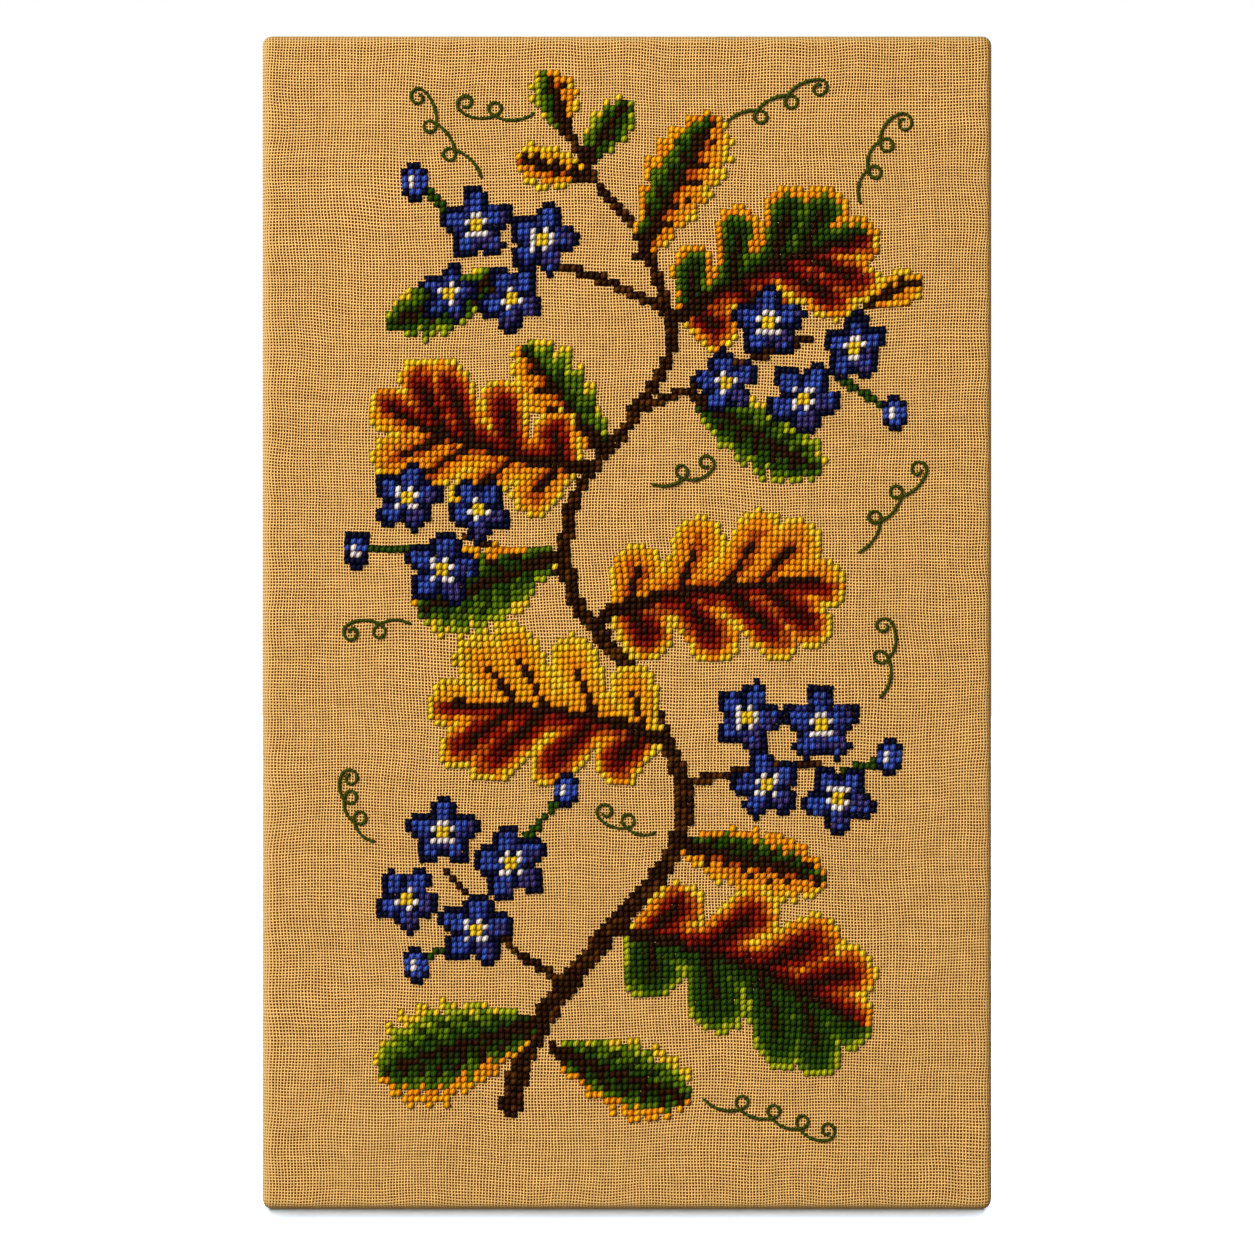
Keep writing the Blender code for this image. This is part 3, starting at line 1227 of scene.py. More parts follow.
@dataclass(frozen=True)
class StitchShape:
    """The measures of one stitch lying from hole to hole.

    Attributes:
        length: from hole to hole.
        width: its full width in the middle.
        thick: its full thickness in the middle.
        lift: how far its middle line stands off the cloth in the middle.
        dive: how far its ends lie inside the cloth.
        sides: flat sides round it.
        sections: places along it, from 0 to 1, that are modelled.
        end_share: how full its ends are, against its middle.
        shaded_end: how light its ends are, against its middle: painted shade where it dives into the cloth.
    """

    length: float
    width: float
    thick: float
    lift: float
    dive: float
    sides: int
    sections: tuple[float, ...]
    end_share: float = 0.3
    shaded_end: float = 0.3

    PLUMP = 0.6  # below 1, the stitch is fuller along its length than half a sine wave
    ARCH = 0.7  # below 1, its middle line rises more steeply from the cloth
    SHADE_REACH = 1.3  # above 1, the painted shade reaches further up from its ends

    def swell(self, share: float) -> float:
        """How full the stitch is at a share of its length, from 0 to 1."""
        return self.end_share + (1 - self.end_share) * math.sin(math.pi * share) ** self.PLUMP

    def rise(self, share: float) -> float:
        """How high its middle line runs at a share of its length."""
        return -self.dive + (self.lift + self.dive) * math.sin(math.pi * share) ** self.ARCH

    def model(self) -> Form:
        """Models the stitch: a small disc, extruded and resized section by section.

        Returns:
            The stitch as arrays.
        """
        first = self.sections[0]
        place = ((first - 0.5) * self.length, 0.0, self.rise(first))
        disc = {"vertices": self.sides, "radius": 0.5, "fill_type": "NGON"}
        turn = (0.0, math.pi / 2, 0.0)
        obj = new_object("stitch", bpy.ops.mesh.primitive_circle_add, location=place, rotation=turn, **disc)
        obj.scale = (self.thick * self.swell(first), self.width * self.swell(first), 1.0)
        bpy.ops.object.transform_apply(location=True, rotation=True, scale=True)
        with editing(obj):
            bpy.ops.mesh.select_all(action="SELECT")
            for here, there in zip(self.sections, self.sections[1:]):
                step = ((there - here) * self.length, 0.0, self.rise(there) - self.rise(here))
                bpy.ops.mesh.extrude_region_move(TRANSFORM_OT_translate={"value": step})
                ratio = self.swell(there) / self.swell(here)
                middle = ((there - 0.5) * self.length, 0.0, self.rise(there))
                bpy.ops.transform.resize(value=(1.0, ratio, ratio), center_override=middle)
            bpy.ops.mesh.select_all(action="SELECT")
            bpy.ops.mesh.normals_make_consistent(inside=False)
            bpy.ops.mesh.quads_convert_to_tris()
        form = self.read(obj)
        bpy.data.objects.remove(obj)
        return form

    def read(self, obj: Object) -> Form:
        """Reads the modelled stitch into arrays.

        Args:
            obj: the stitch, lying along X with its middle over the origin.

        Returns:
            The stitch as arrays.
        """
        points = mesh_points(obj.data)
        triangles = np.array([face.vertices[:] for face in obj.data.polygons])
        share = points[:, 0] / self.length + 0.5
        middle = np.array([self.rise(min(max(s, 0.0), 1.0)) for s in share])
        turn = np.arctan2(points[:, 1], middle - points[:, 2]) / (2 * math.pi) + 0.5
        strand = np.stack([share[triangles], turn[triangles]], axis=-1)
        over_seam = strand[..., 1].max(axis=1) - strand[..., 1].min(axis=1) > 0.5
        strand[..., 1] += over_seam[:, None] & (strand[..., 1] < 0.5)
        # Painted shade: the lower a vertex lies, the darker it is, down to shaded_end at the ends.
        height_share = np.clip((points[:, 2] + self.dive) / (self.lift + self.dive + self.thick / 2), 0, 1)
        shade = self.shaded_end + (1 - self.shaded_end) * height_share ** self.SHADE_REACH
        return Form(points, triangles, strand, shade)


@dataclass(frozen=True)
class Laid:
    """Copies of one stitch, laid in place.

    Attributes:
        form: the stitch.
        points: every copy's vertices, one row of points for each copy.
        tone: how light each copy is, with painted shade on the lower legs of crosses.
    """

    form: Form
    points: np.ndarray
    tone: np.ndarray


def set_down(
    form: Form, places: np.ndarray, turn: np.ndarray, scale: np.ndarray, outward: float, tone: np.ndarray
) -> Laid:
    """Sets straight copies of a stitch down on the cloth.

    Args:
        form: the stitch.
        places: where the middle of each copy stands.
        turn: each copy's direction, in radians above +X.
        scale: each copy's scale across and out of the cloth.
        outward: -1 for the face, 1 for the reverse.
        tone: how light each copy is, with painted shade on the lower legs of crosses.

    Returns:
        The copies.
    """
    zero = np.zeros_like(turn)
    along = np.stack([np.cos(turn), zero, np.sin(turn)], axis=-1)
    across = np.stack([np.sin(turn), zero, -np.cos(turn)], axis=-1) * outward
    out = np.stack([zero, zero + outward, zero], axis=-1)
    axes = np.stack([along, across * scale[:, None], out * scale[:, None]], axis=-1)
    laid = np.einsum("nij,pj->npi", axes, form.points) + places[:, None, :]
    return Laid(form, laid, tone)


def join_copies(name: str, parts: list[Laid], finish: Material) -> Object:
    """Joins copies of stitches into one mesh.

    Args:
        name: the piece's name.
        parts: the copies.
        finish: the piece's material.

    Returns:
        The new piece.
    """
    points, triangles, strands, tones = [], [], [], []
    count = 0
    for part in parts:
        copies, size = part.points.shape[:2]
        first = count + np.arange(copies) * size
        points.append(part.points.reshape(-1, 3))
        triangles.append((part.form.triangles[None] + first[:, None, None]).reshape(-1, 3))
        strands.append(np.tile(part.form.strand.reshape(-1, 2), (copies, 1)))
        # A vertex's tone is its copy's tone times the stitch's painted shade.
        tones.append((part.tone[:, None] * part.form.shade[None]).reshape(-1))
        count += copies * size
    corners = np.concatenate(triangles)
    mesh = bpy.data.meshes.new(name)
    mesh.vertices.add(count)
    mesh.vertices.foreach_set("co", as_row(np.concatenate(points)))
    mesh.loops.add(corners.size)
    mesh.loops.foreach_set("vertex_index", as_row(corners, np.int32))
    mesh.polygons.add(len(corners))
    mesh.polygons.foreach_set("loop_start", np.arange(0, corners.size, 3, dtype=np.int32))
    mesh.update(calc_edges=True)
    mesh.uv_layers.new(name="strand").uv.foreach_set("vector", as_row(np.concatenate(strands)))
    tone = mesh.attributes.new("tone", "FLOAT", "POINT")
    tone.data.foreach_set("value", as_row(np.concatenate(tones)))
    mesh.shade_smooth()
    mesh.materials.append(finish)
    obj = bpy.data.objects.new(name, mesh)
    bpy.context.scene.collection.objects.link(obj)
    return obj


@dataclass
class Cloth:
    """The evenweave sheet: over the face, round the four sides and turned over the back.

    Attributes:
        low: the CAD cloth's lowest corner.
        high: the CAD cloth's highest corner.
        weave: the thread count and wandering.
        thickness: the cloth's thickness.
        margin: how far it is turned over the back, from each side.
        fold_rise: how far the folded corners stand above the margin.
        fold_side: how far in from a side a folded corner has its full rise.
        crease: how deep the crease along a fold's diagonal is, and half its width.
        front_round: the rounding of the face's rim.
        back_round: the rounding of the back's rim.
        corner_round: the rounding of the outline's corners.
        pulled: how far in from a side the cloth is pulled tight over the edge.
        eased: the width over which that eases.
        cell: the grid that carries the ripples and the threads' wandering.
        ripple_size: how far the face's ripples stand proud.
        draw_in: how far the outline is drawn in between its corners.
    """

    low: Vector
    high: Vector
    weave: Weave
    thickness: float = 0.9 * MM
    margin: float = 25.0 * MM
    fold_rise: float = 0.8 * MM
    fold_side: float = 23.0 * MM
    crease: float = 0.6 * MM
    front_round: float = 3.4 * MM
    back_round: float = 1.5 * MM
    corner_round: float = 3.8 * MM
    pulled: float = 3.9 * MM
    eased: float = 2.5 * MM
    cell: float = 5.0 * MM
    ripple_size: float = 0.10 * MM
    draw_in: float = 0.05 * MM

    SMOOTH_ANGLE = math.radians(50)
    CORNER_STEPS = 4  # flat steps round the outline's corners, the face's rim and the back's rim
    FRONT_STEPS = 5
    BACK_STEPS = 3
    FOLD_EASE = 2 * MM  # the width over which a folded corner sinks to the back's rim
    FLAT_RIM = 4 * MM  # the ripples begin this far in from the edge, and are full after the fade
    FADE = 20 * MM
    RIPPLES = (21 * MM, 27 * MM)  # a radian of the ripples that run up the face, and of those across it
    SWAYS = (50 * MM, 37 * MM)  # a radian of the waves in which they sway
    SWAYED = (1.3, 1.1)  # how far they sway, in radians
    LEFT_PULL = 1.2  # how wide the tight band is at the left and at the right, against the ends
    RIGHT_PULL = 0.95
    BACK_EASE = 0.7  # how much of the pull is lost by the back rim
    FACING = 0.98  # a face whose normal has more than this towards the viewer lies flat on the front

    @property
    def width(self) -> float:
        """The face's width."""
        return self.high.x - self.low.x

    @property
    def height(self) -> float:
        """The face's height."""
        return self.high.z - self.low.z

    @property
    def margin_y(self) -> float:
        """Where the turned margin's outer side lies, under the folded corners."""
        return self.high.y - self.fold_rise

    def flat_size(self) -> tuple[float, float]:
        """The size that the sheet was cut to: the face, both sides and both margins each way."""
        more = 2 * (self.margin_y - self.low.y + self.margin)
        return self.width + more, self.height + more

    def from_edges(self, x: np.ndarray, z: np.ndarray) -> tuple[np.ndarray, np.ndarray]:
        """How far places on the sheet lie in from the nearer side, and from the nearer end."""
        return self.width / 2 - np.abs(x), self.height / 2 - np.abs(z - self.height / 2)

    def surface(self, x: np.ndarray, z: np.ndarray) -> np.ndarray:
        """Finds the face's Y, with ripples that fade out at its edges.

        Args:
            x: places across, from the middle.
            z: places up, from the bottom edge.

        Returns:
            The Y at each place.
        """
        near_edge = np.minimum(*self.from_edges(x, z))
        fade = np.clip((near_edge - self.FLAT_RIM) / self.FADE, 0, 1)
        across = np.sin(x / self.RIPPLES[0] + self.SWAYED[0] * np.sin(z / self.SWAYS[0]))
        up = np.sin(z / self.RIPPLES[1] + self.SWAYED[1] * np.sin(x / self.SWAYS[1]))
        return self.low.y - fade * self.ripple_size * (across + up)

    def build(self, finish: Material) -> Object:
        """Models the sheet as one mesh with its thickness.

        Args:
            finish: the linen.

        Returns:
            The cloth.
        """
        middle = (0.0, (self.low.y + self.margin_y) / 2, self.height / 2)
        cloth = new_object("evenweave", bpy.ops.mesh.primitive_cube_add, size=1.0, location=middle)
        cloth.data.name = cloth.name
        cloth.scale = (self.width, self.margin_y - self.low.y, self.height)
        bpy.ops.object.transform_apply(location=True, rotation=True, scale=True)
        with editing(cloth):
            pick(cloth, "EDGE", lambda e: abs(e.verts[0].co.y - e.verts[1].co.y) > MM)
            bpy.ops.mesh.bevel(offset=self.corner_round, segments=self.CORNER_STEPS, affect="EDGES")
            front = (self.low.y, self.front_round, self.FRONT_STEPS)
            back = (self.margin_y, self.back_round, self.BACK_STEPS)
            for y, radius, steps in (front, back):
                pick(cloth, "EDGE", lambda e: all(abs(v.co.y - y) < NEAR for v in e.verts))
                bpy.ops.mesh.bevel(offset=radius, segments=steps, affect="EDGES")
            self.cut_grid()
            self.cut_mitres(cloth)
            pick(cloth, "FACE", lambda face: self.back_zone(face) == (0, 0))
            bpy.ops.mesh.delete(type="FACE")
        self.shape(cloth)
        self.map_threads(cloth)
        self.mark_turns(cloth)
        solid = cloth.modifiers.new("thickness", "SOLIDIFY")
        solid.thickness = self.thickness
        solid.offset = -1.0
        select_only(cloth)
        bpy.ops.object.modifier_apply(modifier=solid.name)
        cloth.data.materials.append(finish)
        cloth.data.shade_smooth()
        cloth.data.set_sharp_from_angle(angle=self.SMOOTH_ANGLE)
        return cloth

    def cut_grid(self) -> None:
        """Cuts the sheet along a grid fine enough to carry its ripples and its threads' wandering."""
        half = self.width / 2 - self.margin
        columns = np.linspace(-half, half, round(2 * half / self.cell) + 1)
        low, high = self.margin, self.height - self.margin
        rows = np.linspace(low, high, round((high - low) / self.cell) + 1)
        edge = np.array([*np.arange(self.cell, self.margin - self.cell / 2, self.cell), self.fold_side])
        across = [*columns, *(edge - self.width / 2), *(self.width / 2 - edge)]
        up = [*rows, *edge, *(self.height - edge)]
        for places, way in ((across, (1.0, 0.0, 0.0)), (up, (0.0, 0.0, 1.0))):
            for place in places:
                bpy.ops.mesh.select_all(action="SELECT")
                bpy.ops.mesh.bisect(plane_co=[place * part for part in way], plane_no=way)

    def cut_mitres(self, cloth: Object) -> None:
        """Cuts the turned corners along their diagonals, for the creases of the mitred folds.

        Args:
            cloth: the mesh in edit mode.
        """
        inner_x, inner_z = self.width / 2 - self.margin, self.height / 2 - self.margin
        for side, end, shift in product((-1, 1), (-1, 1), (-self.crease, 0.0, self.crease)):
            pick(cloth, "FACE", lambda face: self.back_zone(face) == (side, end))
            corner = (side * inner_x + shift * side, 0.0, self.height / 2 + end * inner_z)
            bpy.ops.mesh.bisect(plane_co=corner, plane_no=(side, 0.0, -end))

    def back_zone(self, face: bmesh.types.BMFace) -> tuple[int, ...]:
        """Tells on which part of the back a face lies.

        Args:
            face: the face.

        Returns:
            -1, 0 or 1 for the left margin, between the margins or the right one, and the same going up.
            Nothing for a face that isn't on the back.
        """
        middle = face.calc_center_median()
        if middle.y < self.margin_y - MM:
            return ()
        places = ((middle.x, self.width / 2), (middle.z - self.height / 2, self.height / 2))
        return tuple(int(math.copysign(abs(at) > half - self.margin, at)) for at, half in places)

    def shape(self, cloth: Object) -> None:
        """Moves the vertices: the face's ripples, the folded corners, and outlines drawn in between corners.

        The bottom edge isn't drawn in, because the picture stands on it.

        Args:
            cloth: the sheet, one layer thick.
        """
        x, y, z = mesh_points(cloth.data).T
        rise = z / self.height - 0.5
        run = x / self.width
        x_pull = self.draw_in * (1 - 4 * rise ** 2) * run * 2
        z_pull = self.draw_in * (1 - 4 * run ** 2) * rise * 2 * (z > self.margin)
        on_face, on_back = y < self.low.y + NEAR, y > self.margin_y - NEAR
        y = np.where(on_face, self.surface(x, z), y)
        y = np.where(on_back, y + self.fold_height(x, z), y)
        cloth.data.vertices.foreach_set("co", as_row(np.column_stack([x - x_pull, y, z - z_pull])))
        cloth.data.update()

    def fold_height(self, x: np.ndarray, z: np.ndarray) -> np.ndarray:
        """Says how far the folded corners stand above the turned margin.

        Args:
            x: places across, from the middle.
            z: places up, from the bottom edge.

        Returns:
            The height of the fold, with a crease along its diagonal.
        """
        from_side, from_end = self.from_edges(x, z)
        far, near = np.maximum(from_side, from_end), np.minimum(from_side, from_end)
        raised = np.clip((self.margin - far) / (self.margin - self.fold_side), 0, 1)
        raised = raised * np.clip((near - self.back_round) / self.FOLD_EASE, 0, 1)
        groove = np.clip(1 - np.abs(from_side - from_end) / self.crease, 0, 1)
        return raised * (self.fold_rise - self.crease * groove)

    def unrolled(self, out: float, y: float, half: float) -> float:
        """Measures along the sheet from the middle of the face to a place on it.

        Args:
            out: the place's distance from the middle, towards one side.
            y: its depth.
            half: the distance from the middle to that side.

        Returns:
            The distance along the cloth, over the front edge and round the back edge.
        """
        front, back = self.front_round, self.back_round
        flat = half - front
        if y < self.low.y + front:
            if out < flat:
                return out
            return flat + front * math.atan2(out - flat, self.low.y + front - y)
        side = flat + front * math.pi / 2
        if y < self.margin_y - back:
            return side + y - (self.low.y + front)
        side += self.margin_y - back - (self.low.y + front)
        if out > half - back:
            return side + back * math.atan2(y - (self.margin_y - back), out - (half - back))
        return side + back * math.pi / 2 + half - back - out

    def map_threads(self, cloth: Object) -> None:
        """Gives each face its place on the flat cloth, in metres, with the threads' wandering.

        Args:
            cloth: the sheet, one layer thick.
        """
        mesh = cloth.data
        layer = mesh.uv_layers.active or mesh.uv_layers.new(name="weave")
        layer.name = "weave"
        half_x, half_z = self.width / 2, self.height / 2
        points = mesh_points(mesh)
        dx, dz = self.weave.wander(points[:, 0], points[:, 2])
        values = np.empty((len(mesh.loops), 2))
        for face in mesh.polygons:
            centre_x, centre_z = face.center.x, face.center.z - half_z
            turned = face.normal.y > -self.FACING
            on_side = turned and abs(centre_x) - half_x >= abs(centre_z) - half_z
            on_end = turned and not on_side
            for loop in face.loop_indices:
                number = mesh.loops[loop].vertex_index
                x, y, z = points[number]
                u, v = x, z - half_z
                if on_side:
                    u = math.copysign(self.unrolled(abs(x), y, half_x), centre_x)
                if on_end:
                    v = math.copysign(self.unrolled(abs(v), y, half_z), centre_z)
                values[loop] = (u + dx[number] + half_x, v + dz[number] + half_z)
        layer.uv.foreach_set("vector", as_row(values))

    def mark_turns(self, cloth: Object) -> None:
        """Marks how tightly the cloth is pulled round its edges, and where it is creased.

        The first part of the mark is for every edge, the second for the top and bottom edges alone, and
        the third for a crease. The first also closes up the weave, and all three set the linen's painted
        shade.

        Args:
            cloth: the sheet, one layer thick.
        """
        x, y, z = mesh_points(cloth.data).T
        rim = self.low.y + self.front_round
        bent = 1 - self.BACK_EASE * np.clip((y - rim) / (self.margin_y - rim), 0, 1)
        from_side, from_end = self.from_edges(x, z)
        reach = np.where(x < 0, self.LEFT_PULL, self.RIGHT_PULL) * self.pulled
        to_side = np.clip((reach - from_side) / self.eased, 0, 1)
        to_end = np.clip((self.pulled - from_end) / self.eased, 0, 1)
        crease = np.clip(1 - np.abs(from_side - from_end) / self.crease, 0, 1)
        crease *= (y > self.margin_y - self.crease) & (np.maximum(from_side, from_end) < self.margin)
        values = np.column_stack([bent * np.maximum(to_side, to_end), bent * to_end, crease])
        marks = cloth.data.attributes.new("turned", "FLOAT_VECTOR", "POINT")
        marks.data.foreach_set("vector", as_row(values))


@dataclass
class Embroidery:
    """The stitching: two crossed legs to a square, short bars behind it, and stem-stitched curls.

    Attributes:
        cloth: the cloth that it is worked on.
        chart: the counted chart.
        curls: the thin curling lines.
        window: low and high corners, across and up, of the open back, where reverse stitches show.
        square: the side of a square of the chart.
        seed: seed of the stitches' small unevenness.
    """

    cloth: Cloth
    chart: Chart
    curls: list[Curl]
    window: tuple[Point, Point]
    square: float = 2.5 * MM
    seed: int = 23

    OVERLAP = 1.08  # the legs' length, of the square's diagonal
    TOP_TURN = math.radians(52)
    UNDER_TURN = math.radians(-45)
    UNDER_SHADE = 0.3  # painted shade: how light the lower legs are, which lie in the upper ones' shade
    LIGHT_UNDER_SHADE = 0.44  # the same for the light yarns, with painted light for what they throw on each other
    LIGHT_YARNS = (Yarn.ORANGE, Yarn.AMBER, Yarn.GOLD)
    UNEVEN_TURN = math.radians(10)  # this and the others below are standard deviations
    UNEVEN_PLACE = 0.09 * MM
    UNEVEN_SIZE = 0.08
    UNEVEN_SQUARE = 0.07  # how far the tone differs from square to square
    UNEVEN_LEG = 0.05  # and from leg to leg
    UNEVEN_STEM_SIZE = 0.12
    UNEVEN_STEM_TONE = 0.09
    CURL_ADVANCE = 1.7 * MM  # from one stem stitch to the next, half the length of a stitch
    CURL_SLANT = 0.1

    def __post_init__(self) -> None:
        """Sets the measures of the stitches from the square that they fill."""
        reach = self.square * math.sqrt(2) * self.OVERLAP
        self.top = StitchShape(
            length=reach, width=2.2 * MM, thick=1.5 * MM, lift=0.7 * MM, dive=0.3 * MM,
            sides=6, sections=(0.0, 0.17, 0.5, 0.83, 1.0), end_share=0.3, shaded_end=0.06,
        )
        self.under = StitchShape(
            length=reach, width=2.0 * MM, thick=0.9 * MM, lift=0.22 * MM, dive=0.12 * MM,
            sides=5, sections=(0.0, 0.25, 0.75, 1.0), end_share=0.5, shaded_end=0.12,
        )
        self.reverse = StitchShape(
            length=self.square, width=2.0 * MM, thick=0.7 * MM, lift=0.15 * MM, dive=0.1 * MM,
            sides=4, sections=(0.0, 0.5, 1.0),
        )
        self.stem = StitchShape(
            length=3.4 * MM, width=1.45 * MM, thick=1.0 * MM, lift=0.4 * MM, dive=0.1 * MM,
            sides=5, sections=(0.0, 0.2, 0.4, 0.6, 0.8, 1.0), shaded_end=0.4,
        )

    def on_face(self, column: np.ndarray, row: np.ndarray) -> tuple[np.ndarray, np.ndarray]:
        """Finds the place on the face of points of the chart, in squares."""
        across = column * self.square - self.cloth.width / 2
        return self.cloth.weave.place(across, row * self.square)

    def crosses(self, yarn: Yarn, rng: np.random.Generator, forms: dict[str, Form]) -> list[Laid]:
        """Lays the legs and the reverse bars of one yarn's crosses.

        Args:
            yarn: the skein.
            rng: the random source of the small unevenness.
            forms: the modelled stitches by name.

        Returns:
            The stitches.
        """
        column, row = self.chart.squares(yarn)
        count = len(column)
        x, z = self.on_face(column, row)
        y = self.cloth.surface(x, z)
        skein = rng.normal(1.0, self.UNEVEN_SQUARE, count)
        parts = []
        # The lower legs' tone carries painted shade.
        below = self.LIGHT_UNDER_SHADE if yarn in self.LIGHT_YARNS else self.UNDER_SHADE
        for name, lean, level in (("under", self.UNDER_TURN, below), ("top", self.TOP_TURN, 1.0)):
            shift = rng.normal(0, self.UNEVEN_PLACE, (count, 2))
            places = np.column_stack([x + shift[:, 0], y, z + shift[:, 1]])
            turn = lean + rng.normal(0, self.UNEVEN_TURN, count)
            tone = level * skein * rng.normal(1.0, self.UNEVEN_LEG, count)
            scale = rng.normal(1.0, self.UNEVEN_SIZE, count)
            parts.append(set_down(forms[name], places, turn, scale, -1.0, tone))
        (low_x, low_z), (high_x, high_z) = self.window
        shown = (x > low_x) & (x < high_x) & (z > low_z) & (z < high_z)
        back = self.cloth.low.y + self.cloth.thickness
        places = np.column_stack([x - self.square / 2, np.full(count, back), z])[shown]
        turn = math.pi / 2 + rng.normal(0, self.UNEVEN_TURN, count)[shown]
        scale = rng.normal(1.0, self.UNEVEN_SIZE, count)[shown]
        parts.append(set_down(forms["reverse"], places, turn, scale, 1.0, skein[shown]))
        return parts

    def stem_stitches(self, rng: np.random.Generator) -> list[Laid]:
        """Lays stem stitches along the curls, each bent to the line and half over the one before.

        Args:
            rng: the random source of the small unevenness.

        Returns:
            The stitches.
        """
        form = self.stem.model()
        along, off, out = form.points.T
        parts = []
        for curl in self.curls:
            line = curl.line()
            x, z = self.on_face(line[:, 0], line[:, 1])
            run = np.concatenate([[0.0], np.cumsum(np.hypot(np.diff(x), np.diff(z)))])
            stops = np.arange(self.stem.length / 2, run[-1] - self.stem.length / 2, self.CURL_ADVANCE)
            heading = np.unwrap(np.arctan2(np.gradient(z), np.gradient(x)))
            scale = rng.normal(1.0, self.UNEVEN_STEM_SIZE, len(stops))[:, None]
            place = stops[:, None] + along
            aside = off * scale + self.CURL_SLANT * along
            turn = np.interp(place, run, heading)
            px = np.interp(place, run, x) - np.sin(turn) * aside
            pz = np.interp(place, run, z) + np.cos(turn) * aside
            points = np.stack([px, self.cloth.surface(px, pz) - out * scale, pz], axis=-1)
            parts.append(Laid(form, points, rng.normal(1.0, self.UNEVEN_STEM_TONE, len(stops))))
        return parts

    def build(self) -> list[tuple[Object, Yarn]]:
        """Models the stitches and lays them, one piece for each yarn.

        Returns:
            The pieces and their yarns.
        """
        rng = np.random.default_rng(self.seed)
        forms = {"top": self.top.model(), "under": self.under.model(), "reverse": self.reverse.model()}
        pieces = []
        for yarn in Yarn:
            curled = yarn is Yarn.TENDRIL
            name = "stem_stitched_curls" if curled else f"crosses_{yarn.name.lower()}"
            parts = self.stem_stitches(rng) if curled else self.crosses(yarn, rng, forms)
            if len(parts[0].points):
                pieces.append((join_copies(name, parts, yarn.finish().make()), yarn))
        return pieces


@dataclass
class RawEdge:
    """The frayed ends of the threads along the cut edge of the turned margin.

    Attributes:
        cloth: the cloth whose edge it is.
        seed: seed of the ends' lengths and leans.
        end: the measures of one end.
    """

    cloth: Cloth
    seed: int = 41
    end: StitchShape = StitchShape(
        length=3.0 * MM, width=0.5 * MM, thick=0.45 * MM, lift=0.35 * MM, dive=0.1 * MM,
        sides=4, sections=(0.0, 0.5, 1.0), end_share=0.75, shaded_end=1.0,
    )

    LEAN = math.radians(16)
    UNEVEN_PITCH = 0.12  # how far the ends stray from an even pitch, in pitches
    TRIM = (-0.2, 0.9)  # how far past the cut edge their middles lie, in millimetres
    UNEVEN_RISE = 0.08 * MM
    UNEVEN_TONE = 0.07
    UNEVEN_SIZE = 0.15

    def build(self, finish: Material) -> Object:
        """Lays a thread end at each thread of the cut edge.

        Args:
            finish: the loose linen thread.

        Returns:
            The ends, as one piece.
        """
        rng = np.random.default_rng(self.seed)
        form = self.end.model()
        cloth, pitch = self.cloth, self.cloth.weave.pitch
        halves = (cloth.width / 2 - cloth.margin, cloth.height / 2 - cloth.margin)
        parts = []
        for side in range(4):
            inward = math.radians(90 * side)
            out, run = halves if side % 2 == 0 else halves[::-1]
            along = np.arange(-run + pitch, run - pitch, pitch)
            count = len(along)
            along = along + rng.normal(0, self.UNEVEN_PITCH, count) * pitch
            reach = out - rng.uniform(*self.TRIM, count) * MM
            way = np.array([math.cos(inward), math.sin(inward)])
            spot = along[:, None] * np.array([-way[1], way[0]]) - reach[:, None] * way
            middle = cloth.margin_y - cloth.thickness / 2 - self.end.lift
            y = middle + rng.normal(0, self.UNEVEN_RISE, count)
            places = np.column_stack([spot[:, 0], y, spot[:, 1] + cloth.height / 2])
            turn = inward + rng.normal(0, self.LEAN, count)
            tone = rng.normal(1.0, self.UNEVEN_TONE, count)
            scale = rng.normal(1.0, self.UNEVEN_SIZE, count)
            parts.append(set_down(form, places, turn, scale, 1.0, tone))
        return join_copies("frayed_thread_ends", parts, finish)


@dataclass(frozen=True)
class Stretcher:
    """The four mitred pine bars under the cloth, whose shapes stay as constructed."""

    NAMES = ("bar_bottom", "bar_left", "bar_top", "bar_right")

    def dress(self) -> None:
        """Gives each bar pine whose grain runs along it."""
        grains = {along: PlanedPine(along).make() for along in (0, 2)}
        for name in self.NAMES:
            low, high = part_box(name)
            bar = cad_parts[name]
            bar.data.materials.clear()
            bar.data.materials.append(grains[0 if high.x - low.x > high.z - low.z else 2])

    def window(self) -> tuple[Point, Point]:
        """Finds the opening between the bars.

        Returns:
            Its low and high corners, across and up.
        """
        bottom, left, top, right = (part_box(name) for name in self.NAMES)
        return (left[1].x, bottom[1].z), (right[0].x, top[0].z)


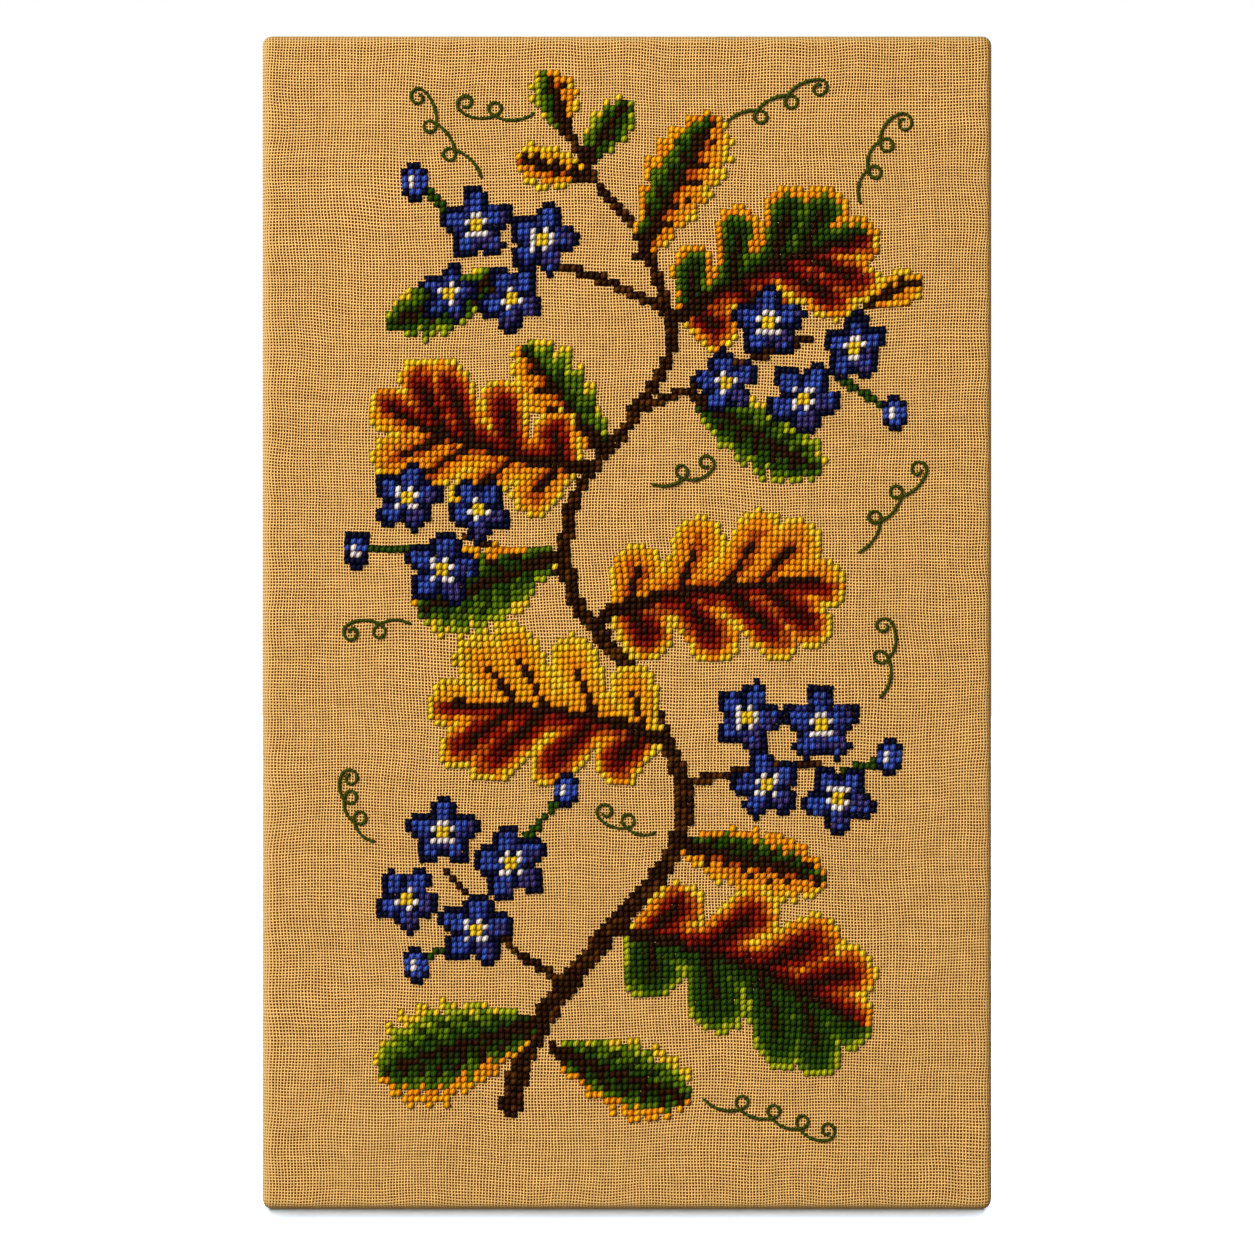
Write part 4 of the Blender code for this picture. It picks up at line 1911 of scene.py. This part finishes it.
@dataclass(frozen=True)
class Studio:
    """The floor, the white surround, the lamps and the camera.

    Attributes:
        picture_height: the height of the picture.
        rim: the Y at which the picture is widest.
    """

    picture_height: float
    rim: float

    PHOTO_PIXELS = 1254
    TOP_PIXEL = 36.5  # where the picture begins and ends in the photograph, from its top
    BOTTOM_PIXEL = 1208.5
    LENS = 100.0
    SENSOR = 36.0
    DAYLIGHT = "#FFF8ED"
    SKY = "#FFF6E8"
    AMBIENT = 0.44
    ROOM = 8.0

    def camera(self) -> None:
        """Sets the camera at the photograph's angle: straight on, from far off."""
        scale = self.picture_height / (self.BOTTOM_PIXEL - self.TOP_PIXEL)
        distance = scale * self.PHOTO_PIXELS * self.LENS / self.SENSOR
        shown_middle = (self.TOP_PIXEL + self.BOTTOM_PIXEL) / 2
        below = (self.PHOTO_PIXELS / 2 - shown_middle) * scale
        place = (0.0, self.rim - distance, self.picture_height / 2 - below)
        level = (math.pi / 2, 0.0, 0.0)
        camera = new_object("camera", bpy.ops.object.camera_add, location=place, rotation=level)
        camera.data.lens = self.LENS
        camera.data.sensor_width = self.SENSOR
        bpy.context.scene.camera = camera

    def surround(self) -> Object:
        """Adds the pale floor and, for the camera alone, a white room round it.

        Returns:
            The floor.
        """
        scene = bpy.context.scene
        scene.view_settings.view_transform = "Standard"
        scene.world = bpy.data.worlds.new("studio_air")
        scene.world.use_nodes = True
        air = scene.world.node_tree.nodes["Background"]
        feed(air, {"Color": linear(self.SKY), "Strength": self.AMBIENT})
        floor = new_object("floor", bpy.ops.mesh.primitive_plane_add, size=3 * self.ROOM)
        floor.data.materials.append(MattPaint().make())
        fine = {"segments": 48, "ring_count": 24}
        room = new_object("white_room", bpy.ops.mesh.primitive_uv_sphere_add, radius=self.ROOM, **fine)
        room.data.materials.append(LitPaper().make())
        for stage in (floor, room):
            stage.visible_diffuse = stage.visible_glossy = False
        room.visible_transmission = room.visible_shadow = False
        return floor

    def soft_lamp(self, name: str, way: Place, reach: float, size: float, level: float) -> Object:
        """Adds a square soft lamp that looks at the picture's middle.

        Args:
            name: the lamp's name.
            way: the direction that it stands in, from the picture's middle.
            reach: its distance.
            size: its side.
            level: the light that it gives a white surface facing it.

        Returns:
            The lamp.
        """
        middle = Vector((0.0, 0.0, self.picture_height / 2))
        place = middle + Vector(way).normalized() * reach
        turn = (middle - place).to_track_quat("-Z", "Y").to_euler()
        lamp = new_object(name, bpy.ops.object.light_add, type="AREA", location=place, rotation=turn)
        lamp.data.size = size
        lamp.data.energy = level * (math.pi * reach) ** 2
        lamp.data.color = linear(self.DAYLIGHT)[:3]
        lamp.visible_camera = False
        return lamp

    def floor_lamp(self, name: str, down: float, aside: float, angle: float, level: float) -> Object:
        """Adds a far lamp for the floor, above the picture or behind it.

        Args:
            name: the lamp's name.
            down: how far it stands from straight above, in degrees.
            aside: how far it stands to the right of straight behind, in degrees.
            angle: how wide it looks, in degrees.
            level: the light that it gives a surface facing it.

        Returns:
            The lamp.
        """
        turn = (math.radians(-down), 0.0, math.radians(-aside))
        lamp = new_object(name, bpy.ops.object.light_add, type="SUN", rotation=turn)
        lamp.data.angle = math.radians(angle)
        lamp.data.energy = level
        lamp.data.color = linear(self.DAYLIGHT)[:3]
        return lamp

    def lights(self, floor: Object) -> None:
        """Lights the picture from the upper left, and the floor from above and, low, from behind.

        Args:
            floor: the floor, which only its own lamps light.
        """
        for_picture = (
            self.soft_lamp("window_light", way=(-0.62, -0.62, 0.48), reach=4.2, size=1.1, level=1.68),
            self.soft_lamp("back_fill", way=(-0.4, 0.8, 0.45), reach=3.0, size=1.5, level=0.5),
        )
        for_floor = (
            self.floor_lamp("ceiling_light", down=1.6, aside=0.0, angle=4.2, level=4.3),
            self.floor_lamp("low_light_left", down=81.0, aside=-16.0, angle=12.0, level=20.0),
            self.floor_lamp("low_light_right", down=81.0, aside=16.0, angle=12.0, level=20.0),
        )
        for lamps, state in ((for_floor, "INCLUDE"), (for_picture, "EXCLUDE")):
            reach = bpy.data.collections.new(f"floor_{state.lower()}")
            reach.objects.link(floor)
            reach.collection_objects[0].light_linking.link_state = state
            for lamp in lamps:
                lamp.light_linking.receiver_collection = reach


def main() -> None:
    """Builds the picture, gives it to the frame and sets up the studio."""
    logging.basicConfig(level=logging.INFO, format="%(name)s: %(message)s")
    low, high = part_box("cloth")
    weave = Weave(high.x - low.x, high.z - low.z)
    cloth = Cloth(low, high, weave)
    sheet = cloth.build(EvenweaveLinen(weave.pitch).make())
    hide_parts("cloth")
    ends = RawEdge(cloth).build(StrandedYarn("linen_thread", "#C99B57", strands=3).make())
    stretcher = Stretcher()
    stretcher.dress()
    design = Design()
    work = Embroidery(cloth, design.chart(), design.curls(), stretcher.window())
    stitches = work.build()
    log.info("crosses: %d", int((work.chart.cells != BARE).sum()))
    slots = {sheet: "linen", ends: "linen", **{piece: yarn.slot for piece, yarn in stitches}}
    for piece, slot in slots.items():
        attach(piece, BODY)
        log.info("%s: %d faces", piece.name, len(piece.data.polygons))
    cloth.flat_size()
    studio = Studio(cloth.height, low.y + cloth.front_round)
    studio.camera()
    studio.lights(studio.surround())
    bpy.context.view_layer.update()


if __name__ == "__main__":
    main()
